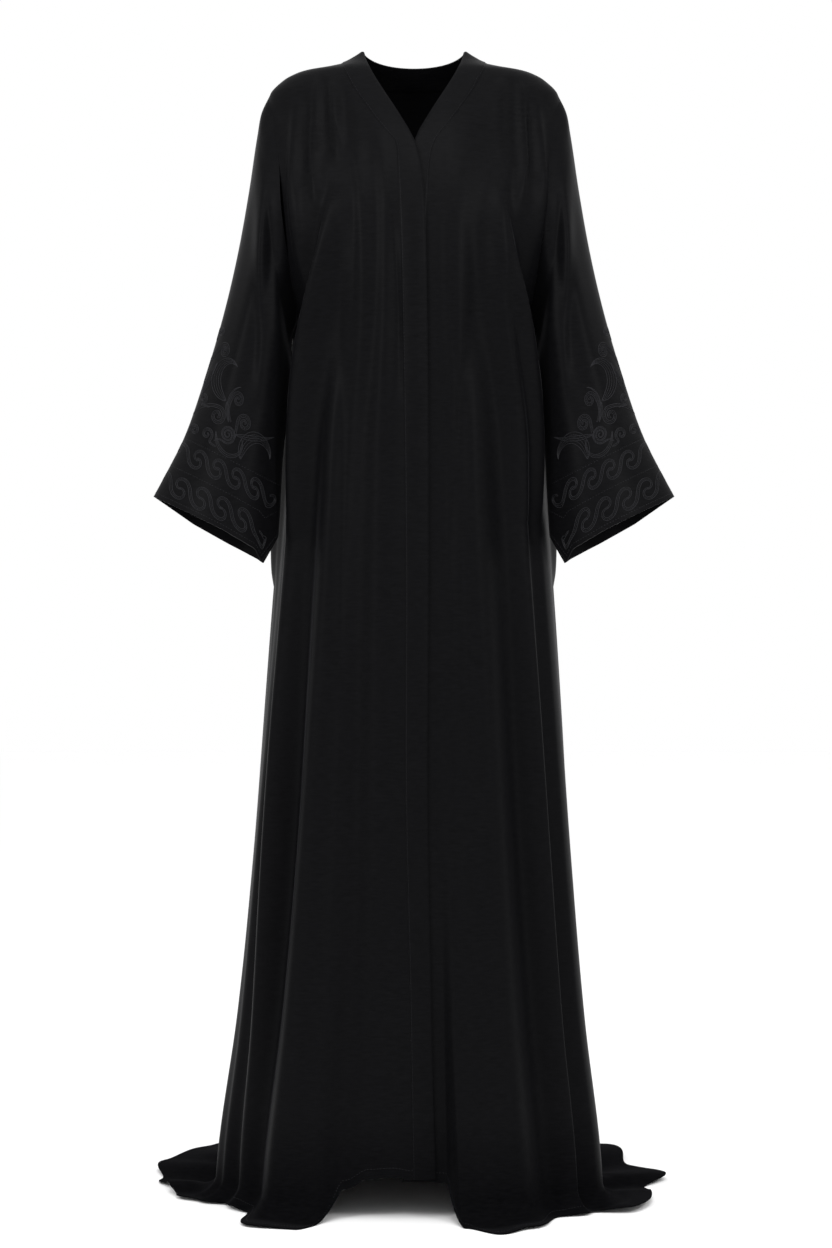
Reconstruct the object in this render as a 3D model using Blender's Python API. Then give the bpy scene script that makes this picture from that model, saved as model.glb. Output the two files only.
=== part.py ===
"""An open-front abaya, shown as worn: fronts, back, batwing sleeves, cuffs and the long front bands.

Lengths are in metres. Heights are measured up from the floor that the hem lies on, and the
whole garment is then lowered, so that the origin is the middle of the neck between the two
shoulder points. The front faces -Y, and the wearer's left is +X.
"""

import math

import bmesh
import bpy
import numpy as np

# Driving sizes.
NECK_HEIGHT = 1.490
SHOULDER_POINT = 1.4337
SHOULDER_ACROSS = 0.187
NECK_CORNER = 1.474
ARMPIT = 1.120
V_POINT = 1.363
FLOOR_TOP = 0.100
FLOOR_BEND = 0.030
CLOTH = 0.0015
BAND_CLOTH = 0.0020
SEAM_GAP = 0.0003
BACK_NECK_EDGE = 1.478
BACK_NECK_SEAM = 1.452
UNDERLAP = 0.0045
UNDERLAP_REACH = 0.060
BLACK_CREPE = (0.012, 0.012, 0.014, 1.0)

# Mesh fineness. The armhole has the same points on the body and on the sleeve.
STEPS_PER_FOLD = 3
FRONT_STEPS = 27
FLOOR_ROWS = 6
SKIRT_ROWS = 10
CHEST_ROWS = 11
SHOULDER_STEPS = 8
SLEEVE_ROWS = 10
CUFF_ROWS = 3
BAND_STEPS = 3

# Half width, and depth to the front and to the back, of the garment without its folds.
BODY_COLUMNS = ("height", "side", "front", "back")
BODY_SECTIONS = (
    (0.000, 0.252, 0.163, 0.232),
    (0.080, 0.246, 0.160, 0.222),
    (0.234, 0.226, 0.154, 0.203),
    (0.440, 0.207, 0.145, 0.180),
    (0.650, 0.191, 0.137, 0.158),
    (0.830, 0.177, 0.130, 0.142),
    (1.000, 0.163, 0.127, 0.128),
    (1.120, 0.156, 0.128, 0.121),
    (1.210, 0.161, 0.128, 0.122),
    (1.300, 0.169, 0.119, 0.119),
    (1.363, 0.177, 0.102, 0.111),
    (1.400, 0.182, 0.085, 0.102),
    (1.4337, 0.187, 0.063, 0.089),
    (1.449, 0.1735, 0.053, 0.080),
    (1.4575, 0.161, 0.047, 0.073),
    (1.465, 0.141, 0.041, 0.067),
    (1.4695, 0.115, 0.036, 0.063),
    (1.474, 0.0945, 0.032, 0.0595),
    (1.482, 0.078, 0.022, 0.053),
    (1.490, 0.066, 0.014, 0.046),
)

# Crests and troughs round the body, in order from the front centre towards +X.
# The angles are degrees round the body, at the chest and at the floor. The depths are
# millimetres out from the plain section. Ridge is how high the fold stands where the cloth
# lies on the floor, and hem is the hem's height, below zero by the length that lies there.
FOLD_COLUMNS = (
    "angle_chest", "angle_floor", "chest", "hip", "knee", "floor", "ridge", "hem",
)
FOLDS = (
    (0, 0, 0, 0, -2, -8, 0, 50),
    (8, 9.5, -2, -3, -5, -14, 0, 46),
    (14, 13, -1, -1, -1, 17, 0, -16),
    (20, 20, 1, 3, 6, 32, 0, -46),
    (26, 29, 2, 8, 14, 25, 3, -32),
    (42, 44, -3, -8, -12, -8, 0, -12),
    (53, 53, 2, 6, 12, 10, 2, -6),
    (60, 57, -1, -3, -4, -6, 2, -14),
    (68, 66, 1, 3, 6, 8, 8, -40),
    (90, 90, 0, 0, -5, -14, 8, -58),
    (102, 103, 1, 6, 1, -12, 0, -60),
    (114, 114, -1, -5, 7, 8, 9, -98),
    (126, 129, 3, 6, -13, -10, 0, -132),
    (139, 142, 5, 7, 15, 18, 20, -178),
    (151, 153, -4, -10, -16, -12, 0, -188),
    (164, 165, 4, 8, 15, 22, 22, -215),
    (176, 176, -5, -11, -18, -12, 0, -205),
    (188, 188, 5, 10, 17, 22, 20, -215),
    (199, 200, -4, -8, -14, -10, 0, -196),
    (211, 211, 4, 8, 14, 20, 20, -200),
    (224, 224, -4, -10, -15, -12, 30, -182),
    (237, 236, 4, 8, 14, 16, 14, -138),
    (249, 249, -3, -6, -9, -2, 0, -102),
    (259, 260, 1, 6, 6, 10, 12, -52),
    (270, 270, 0, 0, 2, 8, 4, -36),
    (278, 279, -1, -3, 1, 0, 4, -16),
    (285, 288, 0, -2, -5, -14, 0, -4),
    (293, 297, 1, 4, 11, -4, 2, -2),
    (309, 305, -4, -12, -20, -10, 0, -8),
    (323, 319, -2, 8, 16, 28, 3, -42),
    (329, 331, 1, 2, 5, 20, 0, -36),
    (337, 339, -3, -4, -7, -7, 0, 24),
    (344, 347, 1, 1, 1, -6, 0, 52),
    (351, 354, -2, -2, 0, -6, 0, 54),
)
FOLD_HEIGHTS = (0.0, 0.45, 0.85, 1.24, 1.42)
SIDE_LEFT_FOLD = 9
SIDE_RIGHT_FOLD = 24
SIDE_FULLNESS = 0.010
SIDE_FULL_HEIGHTS = (0.80, 1.14)

# The front bands: where each one's seam and free edge lie across the front.
PLACKET_COLUMNS = ("height", "right_seam", "right_edge", "left_seam", "left_edge")
PLACKET = (
    (0.030, -0.0010, 0.0290, 0.0160, -0.0140),
    (0.275, -0.0050, 0.0220, 0.0110, -0.0180),
    (0.525, -0.0110, 0.0170, 0.0080, -0.0210),
    (0.790, -0.0110, 0.0185, 0.0090, -0.0200),
    (1.055, -0.0135, 0.0178, 0.0090, -0.0200),
    (1.207, -0.0165, 0.0155, 0.0130, -0.0170),
    (1.270, -0.0185, 0.0138, 0.0162, -0.0140),
    (1.307, -0.0200, 0.0113, 0.0185, -0.0115),
    (1.333, -0.0212, 0.0084, 0.0201, -0.0090),
    (1.349, -0.0218, 0.0046, 0.0230, -0.0055),
    (1.361, -0.0245, 0.0000, 0.0275, 0.0010),
)

# The bands from the V point up to the neck point: half widths and heights of both edges.
NECK_COLUMNS = ("along", "edge_across", "edge_height", "seam_across", "seam_height")
NECK_RUN = (
    (0.00, 0.0000, 1.3630, 0.0250, 1.3600),
    (0.25, 0.0215, 1.4005, 0.0470, 1.3870),
    (0.50, 0.0385, 1.4290, 0.0640, 1.4120),
    (0.72, 0.0525, 1.4540, 0.0790, 1.4360),
    (0.87, 0.0605, 1.4720, 0.0880, 1.4560),
    (1.00, 0.0660, 1.4900, 0.0945, 1.4740),
)

# The sleeve from the armhole, 0, to the cuff's edge, 1: the top fold over the arm, the
# underarm fold, how far the sleeve swings forward, and how deep its front and back swell.
SLEEVE_COLUMNS = (
    "along", "top_across", "top_height", "under_across", "under_height",
    "forward", "front_swell", "back_swell",
)
SLEEVE_SECTIONS = (
    (0.00, 0.1870, 1.4337, 0.1560, 1.1200, 0.000, 0.066, 0.070),
    (0.05, 0.1980, 1.4100, 0.1580, 1.1100, 0.001, 0.067, 0.069),
    (0.10, 0.2030, 1.3830, 0.1600, 1.0990, 0.002, 0.067, 0.068),
    (0.25, 0.2140, 1.3070, 0.1630, 1.0680, 0.006, 0.066, 0.063),
    (0.40, 0.2285, 1.2250, 0.1650, 1.0350, 0.011, 0.062, 0.058),
    (0.55, 0.2470, 1.1440, 0.1670, 1.0000, 0.018, 0.058, 0.054),
    (0.70, 0.2715, 1.0590, 0.1690, 0.9640, 0.025, 0.057, 0.051),
    (0.84, 0.2960, 0.9875, 0.1710, 0.9245, 0.031, 0.058, 0.049),
    (0.92, 0.3145, 0.9495, 0.1725, 0.8920, 0.034, 0.060, 0.049),
    (1.00, 0.3355, 0.9100, 0.1745, 0.8590, 0.037, 0.062, 0.049),
)
CUFF_SEAM = 0.84
SWELL_BLEND = 0.16
EDGE_BLEND = 4
ARMHOLE_ROUNDNESS = 0.85
ARM_ROUNDNESS = 0.54
CUFF_ROUNDNESS = 0.62
# How far the cuff's hem hangs below the line between its two edge folds, in millimetres.
# Across is 0 at the top fold and 1 at the underarm, and both layers come to one low tip.
HEM_BOW_COLUMNS = ("across", "front", "back")
HEM_BOW = (
    (0.00, 0, 0),
    (0.30, 7, 19),
    (0.58, 15, 30),
    (0.83, 26, 38),
    (0.87, 39, 41),
    (1.00, 0, 0),
)
FRONT_SKEW = 0.10

# Soft folds that run down the sleeve: across is 0 at the top fold and 1 at the underarm.
SLEEVE_FOLD_COLUMNS = ("across_armhole", "across_cuff", "width", "armhole", "elbow", "cuff")
SLEEVE_FRONT_FOLDS = (
    (0.30, 0.22, 0.10, 5.0, 4.0, 0.0),
    (0.52, 0.45, 0.09, -6.0, -4.0, 0.0),
    (0.74, 0.72, 0.10, 4.0, 3.0, 1.0),
    (0.90, 0.90, 0.06, -4.0, -4.0, -2.0),
)
SLEEVE_BACK_FOLDS = (
    (0.26, 0.30, 0.10, 5.0, 6.0, 2.0),
    (0.48, 0.52, 0.10, -6.0, -7.0, -3.0),
    (0.70, 0.74, 0.10, 5.0, 6.0, 3.0),
)


def curve_through(keys, values, at):
    """Values on a smooth curve through the points (keys, values), read at each of at."""
    keys = np.asarray(keys, float)
    values = np.asarray(values, float)
    at = np.clip(np.asarray(at, float), keys[0], keys[-1])
    width = np.diff(keys).reshape((-1,) + (1,) * (values.ndim - 1))
    rise = np.diff(values, axis=0) / width
    slope = np.concatenate([rise[:1], (rise[:-1] + rise[1:]) / 2, rise[-1:]])
    i = np.clip(np.searchsorted(keys, at, side="right") - 1, 0, len(keys) - 2)
    span = keys[i + 1] - keys[i]
    f = (at - keys[i]) / span
    if values.ndim > 1:
        f, span = f[..., None], span[..., None]
    return (
        values[i] * (1 + 2 * f) * (1 - f) ** 2
        + values[i + 1] * f**2 * (3 - 2 * f)
        + slope[i] * span * f * (1 - f) ** 2
        - slope[i + 1] * span * f**2 * (1 - f)
    )


def read(rows, names, wanted, at):
    """The column called wanted, at positions along the table's first column."""
    rows = np.asarray(rows, float)
    return curve_through(rows[:, 0], rows[:, names.index(wanted)], at)


def ease(x):
    """0 to 1 with a soft start and end."""
    x = np.clip(x, 0.0, 1.0)
    return x * x * (3 - 2 * x)


def lens(across, roundness):
    """Height of a flattened tube between its two edge folds: 0 at both, 1 in the middle."""
    return np.sin(math.pi * np.clip(across, 0.0, 1.0)) ** roundness


def armhole_swell(height, behind):
    """How far the armhole's edge stands before or behind the shoulder plane."""
    name = "back_swell" if behind else "front_swell"
    swell = SLEEVE_SECTIONS[0][SLEEVE_COLUMNS.index(name)]
    down = (SHOULDER_POINT - height) / (SHOULDER_POINT - ARMPIT)
    inside = (down > 0) & (down < 1)
    return np.where(inside, swell * lens(down, ARMHOLE_ROUNDNESS), 0.0)


def chest_swell(height, behind):
    """The same for the cloth away from the armhole, which starts to widen lower down."""
    name = "back_swell" if behind else "front_swell"
    swell = SLEEVE_SECTIONS[0][SLEEVE_COLUMNS.index(name)]
    rising = ease((height - ARMPIT + SWELL_BLEND) / (SWELL_BLEND + 0.14))
    return swell * rising * ease((SHOULDER_POINT - height) / 0.16)


def section_point(turn, height, behind, swell):
    """Points on the plain section, and the outward direction times its size there.

    Turn is 0 in the middle of the front or back, and 90 degrees at the side or armhole.
    """
    facing = 1.0 if behind else -1.0
    side = read(BODY_SECTIONS, BODY_COLUMNS, "side", height)
    reach = read(BODY_SECTIONS, BODY_COLUMNS, "back" if behind else "front", height)
    cut = np.minimum(swell / reach, 0.9)
    across = side / np.sqrt(1 - cut**2)
    sweep = turn * np.arccos(cut) / (math.pi / 2)
    point = np.stack([across * np.sin(sweep), facing * reach * np.cos(sweep)], axis=-1)
    out = np.stack([np.sin(sweep) / across, facing * np.cos(sweep) / reach], axis=-1)
    return point, out / np.linalg.norm(out, axis=-1, keepdims=True)


def fold_at(fold, height):
    """Angle in degrees, depth out and ridge in metres, and hem height, at a fold number."""
    rows = np.asarray(FOLDS, float)
    fold, height = np.broadcast_arrays(np.asarray(fold, float), np.asarray(height, float))
    first = np.floor(fold).astype(int)
    share = fold - first
    turn = first // len(rows)
    a, b = first % len(rows), (first + 1) % len(rows)
    down = ease(1 - height / FOLD_HEIGHTS[3])
    angle_a = rows[a, 0] + (rows[a, 1] - rows[a, 0]) * down
    angle_b = rows[b, 0] + (rows[b, 1] - rows[b, 0]) * down + 360.0 * (b == 0)
    angle = angle_a + (angle_b - angle_a) * share + 360.0 * turn
    depths = np.stack([rows[:, 5], rows[:, 4], rows[:, 3], rows[:, 2], 0 * rows[:, 2]])
    at_height = curve_through(FOLD_HEIGHTS, depths, height.ravel())
    spot = np.arange(height.size)
    wave = (1 - np.cos(math.pi * share)) / 2
    depth_a = at_height[spot, a.ravel()].reshape(height.shape)
    depth_b = at_height[spot, b.ravel()].reshape(height.shape)
    depth = (depth_a + (depth_b - depth_a) * wave) / 1000
    ridge = (rows[a, 6] + (rows[b, 6] - rows[a, 6]) * wave) / 1000
    hem = (rows[a, 7] + (rows[b, 7] - rows[a, 7]) * wave) / 1000
    return angle, depth, ridge, hem


def side_fullness(fold, height):
    """Metres that the cloth stands out just behind the side seam, where the sleeve lies on it."""
    low, high = SIDE_FULL_HEIGHTS
    folds = (SIDE_LEFT_FOLD + 1.0, SIDE_RIGHT_FOLD - 1.0)
    bump = sum(np.exp(-(((fold - middle) / 0.8) ** 2)) for middle in folds)
    return SIDE_FULLNESS * bump * lens((height - low) / (high - low), 0.5)


def body_point(fold, height, behind):
    """Points on the cloth's outer face, by fold number and height along the cloth.

    A height under FLOOR_BEND turns outwards there, and what is left of it lies on the floor.
    Behind is true for the back, and false for the fronts.
    """
    angle, depth, ridge, hem = fold_at(fold, height)
    depth = depth + side_fullness(fold, height)
    level = np.clip(height, 0.0, NECK_HEIGHT) + 0 * angle
    turn = np.radians((angle + 180.0) % 360.0 - 180.0)
    if behind:
        turn = math.pi - turn % (2 * math.pi)
    soft, soft_out = section_point(turn, level, behind, chest_swell(level, behind))
    edge, edge_out = section_point(turn, level, behind, armhole_swell(level, behind))
    near_edge = np.clip(np.abs(turn) / (math.pi / 2), 0, 1)[..., None] ** EDGE_BLEND
    point = soft + (edge - soft) * near_edge
    out = soft_out + (edge_out - soft_out) * near_edge
    past = FLOOR_BEND - np.minimum(height, FLOOR_BEND)
    bend = np.minimum(past / FLOOR_BEND, math.pi / 2)
    flat = np.maximum(past - FLOOR_BEND * math.pi / 2, 0.0)
    run = FLOOR_BEND * (1 - np.cos(bend)) + flat
    lying = FLOOR_BEND * (1 - np.sin(bend))
    swollen = ridge * ease(past / 0.06) * (1 - 0.55 * ease((past - 0.06) / 0.16))
    z = np.where(past > 0, lying + swollen, height) + CLOTH * ease(past / 0.02)
    point = point + out * (depth + run)[..., None]
    return np.concatenate([point, z[..., None]], axis=-1)


def body_normal(fold, height, behind):
    """Unit normals of the cloth's outer face, which both pieces at a seam have in common."""
    around = body_point(fold + 0.03, height, behind) - body_point(fold - 0.03, height, behind)
    up = body_point(fold, height + 0.001, behind) - body_point(fold, height - 0.001, behind)
    normal = np.cross(around, up)
    return normal / np.linalg.norm(normal, axis=-1, keepdims=True)


def fold_for_across(across, height, near):
    """The fold number whose point on the front lies that far across, at each height."""
    found = []
    folds = np.linspace(near[0], near[1], 181)
    for x, z in zip(np.ravel(across), np.ravel(height)):
        xs = body_point(folds, np.full(folds.shape, z), False)[:, 0]
        found.append(np.interp(x, xs, folds))
    return np.array(found).reshape(np.shape(across))


def fold_for_angle(angle, height):
    """The fold number at that angle round the back, at each height."""
    found = []
    folds = np.linspace(SIDE_LEFT_FOLD, SIDE_RIGHT_FOLD, 181)
    for a, z in zip(np.ravel(angle), np.ravel(height)):
        angles = fold_at(folds, np.full(folds.shape, z))[0]
        found.append(np.interp(a, angles, folds))
    return np.array(found).reshape(np.shape(angle))


def underlap(points):
    """How far the left front and its band move back, to pass under the right band."""
    share = ease(1 - points[..., 0] / UNDERLAP_REACH)
    share = share * ease((NECK_HEIGHT - 0.045 - points[..., 2]) / 0.06)
    move = np.zeros_like(points)
    move[..., 1] = UNDERLAP * share
    return move


def chest_rows():
    """Row positions from the armpit, 0, to the shoulder, 1, close together at both ends."""
    return (1 - np.cos(np.linspace(0, math.pi, CHEST_ROWS + 1))) / 2


def body_rows():
    """Row positions: 0 to 1 on the floor part, 1 to 2 up the skirt and 2 to 3 to the top."""
    floor = np.linspace(0, 1, FLOOR_ROWS + 1)[:-1]
    skirt = np.linspace(1, 2, SKIRT_ROWS + 1)[:-1]
    return np.concatenate([floor, skirt, 2 + chest_rows()])


def row_height(row, hem, top):
    """Height along the cloth of a row position, for a column with that hem and top."""
    floor = hem + (FLOOR_TOP - hem) * np.clip(row, 0, 1)
    skirt = (ARMPIT - FLOOR_TOP) * np.clip(row - 1, 0, 1)
    chest = (top - ARMPIT) * np.clip(row - 2, 0, 1)
    return floor + skirt + chest


def shoulder_height(across):
    """Height of the shoulder seam above a distance from the neck's middle."""
    rows = np.asarray(BODY_SECTIONS)
    seam = rows[rows[:, 0] >= SHOULDER_POINT]
    return np.interp(across, seam[::-1, 1], seam[::-1, 0])


def front_near(side):
    """The folds that a front may lie on, in rising order."""
    if side > 0:
        return -2.5, SIDE_LEFT_FOLD
    return SIDE_RIGHT_FOLD, len(FOLDS) + 2.5


def front_edge(side, row):
    """Fold number and height of a front's seam to its band, in one row."""
    name = "left_seam" if side > 0 else "right_seam"
    middle = 0 if side > 0 else len(FOLDS)
    hem = fold_at(middle + 0.4 * side, 0.0)[3]
    height = row_height(row, hem, NECK_CORNER)
    if height <= V_POINT:
        across = read(PLACKET, PLACKET_COLUMNS, name, height)
    else:
        runs = np.linspace(0, 1, 101)
        heights = read(NECK_RUN, NECK_COLUMNS, "seam_height", runs)
        along = np.interp(height, heights, runs)
        across = side * read(NECK_RUN, NECK_COLUMNS, "seam_across", along)
    return fold_for_across(across, height, front_near(side)), height


def front_places(side):
    """Fold numbers and heights of a front: side is 1 for the left front, -1 for the right."""
    last = SIDE_LEFT_FOLD if side > 0 else SIDE_RIGHT_FOLD
    share = np.linspace(0, 1, FRONT_STEPS + 1)
    corner = read(NECK_RUN, NECK_COLUMNS, "seam_across", 1.0)
    top = shoulder_height(corner + (SHOULDER_ACROSS - corner) * share)
    folds, heights = [], []
    for row in body_rows():
        inner, inner_height = front_edge(side, row)
        columns = inner + (last - inner) * share
        height = row_height(row, fold_at(columns, 0.0)[3], top)
        height[0] = inner_height
        folds.append(columns)
        heights.append(height)
    return np.array(folds), np.array(heights)


def back_places():
    """Fold numbers and heights of the back, from the left side seam round to the right one."""
    across = np.linspace(SIDE_LEFT_FOLD, SIDE_RIGHT_FOLD, back_steps() + 1)
    step = np.arange(back_steps() + 1)
    neck_steps = back_steps() - 2 * SHOULDER_STEPS
    on_neck = np.clip((step - SHOULDER_STEPS) / neck_steps, 0, 1)
    on_shoulder = np.clip(np.minimum(step, back_steps() - step) / SHOULDER_STEPS, 0, 1)
    corner = read(NECK_RUN, NECK_COLUMNS, "seam_across", 1.0)
    seam_across = SHOULDER_ACROSS * (1 - on_shoulder) + corner * on_shoulder
    seam = shoulder_height(seam_across)
    top = seam - (NECK_CORNER - BACK_NECK_SEAM) * np.sin(math.pi * on_neck) ** 2
    neck_turn = np.abs(90.0 - 180.0 * on_neck)
    top_side = read(BODY_SECTIONS, BODY_COLUMNS, "side", top)
    on_top = top_side * np.sin(np.radians(neck_turn))
    left = step <= back_steps() // 2
    folds, heights = [], []
    for row in body_rows():
        near_top = np.clip(row - 2, 0, 1) ** 2
        height = row_height(row, fold_at(across, 0.0)[3], top)
        angle = fold_at(across, height)[0]
        side = read(BODY_SECTIONS, BODY_COLUMNS, "side", height)
        cut = armhole_swell(height, True) / read(BODY_SECTIONS, BODY_COLUMNS, "back", height)
        narrowed = np.where(height < SHOULDER_POINT, side / SHOULDER_ACROSS, 1.0)
        share = on_top * narrowed * np.sqrt(1 - cut**2) / side
        turn = np.degrees(np.arcsin(np.minimum(share, 1))) * (math.pi / 2) / np.arccos(cut)
        turn = (np.minimum(turn, 90.0) + neck_turn) / 2
        under_top = np.where(left, 180.0 - turn, 180.0 + turn)
        angle = angle + (under_top - angle) * near_top
        folds.append(fold_for_angle(angle, height))
        heights.append(height)
    return np.array(folds), np.array(heights)


def back_steps():
    """Steps across the back, an even number so that one column is its middle."""
    steps = STEPS_PER_FOLD * (SIDE_RIGHT_FOLD - SIDE_LEFT_FOLD)
    return steps + steps % 2


def band_front_places(side):
    """Fold numbers and heights of a band up the front, with the front's own rows at the seam."""
    edge_name = "left_edge" if side > 0 else "right_edge"
    shares = np.linspace(0, 1, BAND_STEPS + 1)
    folds, heights = [], []
    for row in body_rows():
        seam_fold, seam_height = front_edge(side, row)
        if seam_height <= PLACKET[-1][0]:
            edge_height = seam_height
            edge = read(PLACKET, PLACKET_COLUMNS, edge_name, seam_height)
        else:
            runs = np.linspace(0, 1, 101)
            along = np.interp(seam_height, read(NECK_RUN, NECK_COLUMNS, "seam_height", runs), runs)
            edge_height = read(NECK_RUN, NECK_COLUMNS, "edge_height", along)
            edge = side * read(NECK_RUN, NECK_COLUMNS, "edge_across", along)
        edge_fold = fold_for_across(edge, edge_height, front_near(side))
        folds.append(seam_fold + (edge_fold - seam_fold) * shares)
        heights.append(seam_height + (edge_height - seam_height) * shares)
    return np.array(folds), np.array(heights)


def band_back_places(side):
    """Fold numbers and heights of a band round the back of the neck, as far as its middle."""
    neck_steps = back_steps() // 2 - SHOULDER_STEPS
    shares = np.linspace(0, 1, BAND_STEPS + 1)
    folds, heights = [], []
    for along in np.linspace(0, 1, neck_steps + 1)[1:]:
        drop = math.sin(math.pi / 2 * along) ** 2
        seam = NECK_CORNER - (NECK_CORNER - BACK_NECK_SEAM) * drop
        edge = NECK_HEIGHT - (NECK_HEIGHT - BACK_NECK_EDGE) * drop
        height = seam + (edge - seam) * shares
        angle = 180 - side * 90 * (1 - along) + 0 * shares
        folds.append(fold_for_angle(angle, height))
        heights.append(height)
    return np.array(folds), np.array(heights)


def hem_bow(across, layer):
    """How far the cuff's hem hangs below the line between its two edge folds, in metres."""
    rows = np.asarray(HEM_BOW, float)
    return np.interp(across, rows[:, 0], rows[:, HEM_BOW_COLUMNS.index(layer)]) / 1000


def sleeve_folds(table, across, along):
    """Depth in metres that the soft folds add, by position across and along the sleeve."""
    total = 0.0
    for start, end, width, armhole, elbow, cuff in table:
        middle = start + (end - start) * along
        size = curve_through((0.0, 0.12, 0.5, 1.0), (0.0, armhole, elbow, cuff), along)
        total = total + size / 1000 * np.exp(-(((across - middle) / width) ** 2))
    return total * lens(across, 0.5)


def sleeve_points(side, along):
    """Outer points of a sleeve: rows run from the armhole to the cuff, columns round it.

    The columns start at the top fold and come back to it behind, with the armhole's points.
    """
    along = np.asarray(along, float)[:, None]
    down = 1 - chest_rows()[::-1]
    across = np.concatenate([down, down[-2:0:-1]])[None, :]
    behind = np.arange(across.shape[1])[None, :] > CHEST_ROWS

    def section(name):
        return read(SLEEVE_SECTIONS, SLEEVE_COLUMNS, name, along)

    top = np.stack([section("top_across"), 0 * along, section("top_height")], axis=-1)
    under = np.stack([section("under_across"), 0 * along, section("under_height")], axis=-1)
    points = top + (under - top) * across[..., None]
    roundness = curve_through(
        (0.0, 0.15, 0.50, 1.0),
        (ARMHOLE_ROUNDNESS, ARM_ROUNDNESS, ARM_ROUNDNESS, CUFF_ROUNDNESS),
        along,
    )
    body = lens(across, roundness)
    skewed = lens(across ** (1 + FRONT_SKEW * ease((along - 0.15) / 0.6)), roundness)
    front = section("front_swell") * skewed + sleeve_folds(SLEEVE_FRONT_FOLDS, across, along)
    back = section("back_swell") * body + sleeve_folds(SLEEVE_BACK_FOLDS, across, along)
    points[..., 1] = np.where(behind, back, -front) - section("forward")
    bow = np.clip((along - CUFF_SEAM) / (1 - CUFF_SEAM), 0, 1)
    front_bow = hem_bow(across, "front")
    back_bow = hem_bow(across, "back")
    points[..., 2] -= bow * np.where(behind, back_bow, front_bow)
    heights = SHOULDER_POINT + (ARMPIT - SHOULDER_POINT) * across[0]
    fold = SIDE_LEFT_FOLD + 0 * heights
    armhole = np.where(
        behind[0][:, None],
        body_point(fold, heights, True),
        body_point(fold, heights, False),
    )
    first = np.stack([
        SHOULDER_ACROSS + (SLEEVE_SECTIONS[0][3] - SHOULDER_ACROSS) * across[0],
        np.where(behind[0], 1, -1) * armhole_first(across[0], behind[0]),
        heights,
    ], axis=-1)
    points += (armhole - first) * (1 - ease(along / 0.12))[..., None]
    points[..., 0] *= side
    return points


def armhole_first(across, behind):
    """Depth of the sleeve's plain first section."""
    row = dict(zip(SLEEVE_COLUMNS, SLEEVE_SECTIONS[0]))
    swell = np.where(behind, row["back_swell"], row["front_swell"])
    return swell * lens(across, ARMHOLE_ROUNDNESS)


def grid_normals(points):
    """Unit normals of a tube's points, whose columns run round it."""
    around = np.roll(points, -1, axis=1) - np.roll(points, 1, axis=1)
    normal = np.cross(around, np.gradient(points, axis=0))
    return normal / np.linalg.norm(normal, axis=-1, keepdims=True)


def drawn_in(points, first_row=0.0, last_row=0.0, first_column=0.0, last_column=0.0):
    """How far each point moves, to draw the edges in and leave the gaps at the seams."""
    move = np.zeros_like(points)
    for edge, gap in ((0, first_row), (-1, last_row)):
        step = points[1 if edge == 0 else -2] - points[edge]
        length = np.linalg.norm(step, axis=-1, keepdims=True)
        move[edge] += step / np.maximum(length, 1e-9) * gap
    for edge, gap in ((0, first_column), (-1, last_column)):
        step = points[:, 1 if edge == 0 else -2] - points[:, edge]
        length = np.linalg.norm(step, axis=-1, keepdims=True)
        move[:, edge] += step / np.maximum(length, 1e-9) * gap
    return move


def wall_object(name, outer, inner, closed=False):
    """A thin-walled solid between a grid of outer points and the same grid of inner points.

    The rows run up. The columns run round it counterclockwise, seen from above.
    """
    rows, columns = outer.shape[:2]
    mesh = bmesh.new()
    out = [[mesh.verts.new(p) for p in row] for row in outer]
    inn = [[mesh.verts.new(p) for p in row] for row in inner]
    steps = range(columns if closed else columns - 1)
    for r in range(rows - 1):
        for c in steps:
            d = (c + 1) % columns
            mesh.faces.new((out[r][c], out[r][d], out[r + 1][d], out[r + 1][c]))
            mesh.faces.new((inn[r][c], inn[r + 1][c], inn[r + 1][d], inn[r][d]))
    for c in steps:
        d = (c + 1) % columns
        mesh.faces.new((out[0][c], inn[0][c], inn[0][d], out[0][d]))
        mesh.faces.new((out[-1][c], out[-1][d], inn[-1][d], inn[-1][c]))
    if not closed:
        for r in range(rows - 1):
            mesh.faces.new((out[r][0], out[r + 1][0], inn[r + 1][0], inn[r][0]))
            mesh.faces.new((out[r][-1], inn[r][-1], inn[r + 1][-1], out[r + 1][-1]))
    data = bpy.data.meshes.new(name)
    mesh.to_mesh(data)
    mesh.free()
    data.shade_smooth()
    data.set_sharp_from_angle(angle=math.radians(60))
    return bpy.data.objects.new(name, data)


def crepe():
    """Matt black crepe."""
    material = bpy.data.materials.new("black_crepe")
    material.use_nodes = True
    shader = material.node_tree.nodes["Principled BSDF"]
    shader.inputs["Base Color"].default_value = BLACK_CREPE
    shader.inputs["Roughness"].default_value = 0.8
    shader.inputs["Metallic"].default_value = 0.0
    return material


def make_fronts():
    """The two fronts, from the band's seam to the side seam, armhole and shoulder seam."""
    made = []
    half = SEAM_GAP / 2
    for name, side in (("front_left", 1), ("front_right", -1)):
        fold, height = front_places(side)
        outer = body_point(fold, height, False)
        inner = outer - CLOTH * body_normal(fold, height, False)
        move = drawn_in(outer, last_row=half, first_column=half, last_column=half)
        if side > 0:
            move = move + underlap(outer)
        outer, inner = outer + move, inner + move
        made.append(wall_object(name, outer[:, ::side], inner[:, ::side]))
    return made


def make_back():
    """The back, from side seam to side seam, with the longest part of the hem."""
    half = SEAM_GAP / 2
    fold, height = back_places()
    outer = body_point(fold, height, True)
    inner = outer - CLOTH * body_normal(fold, height, True)
    move = drawn_in(outer, last_row=half, first_column=half, last_column=half)
    return [wall_object("back", outer + move, inner + move)]


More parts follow.
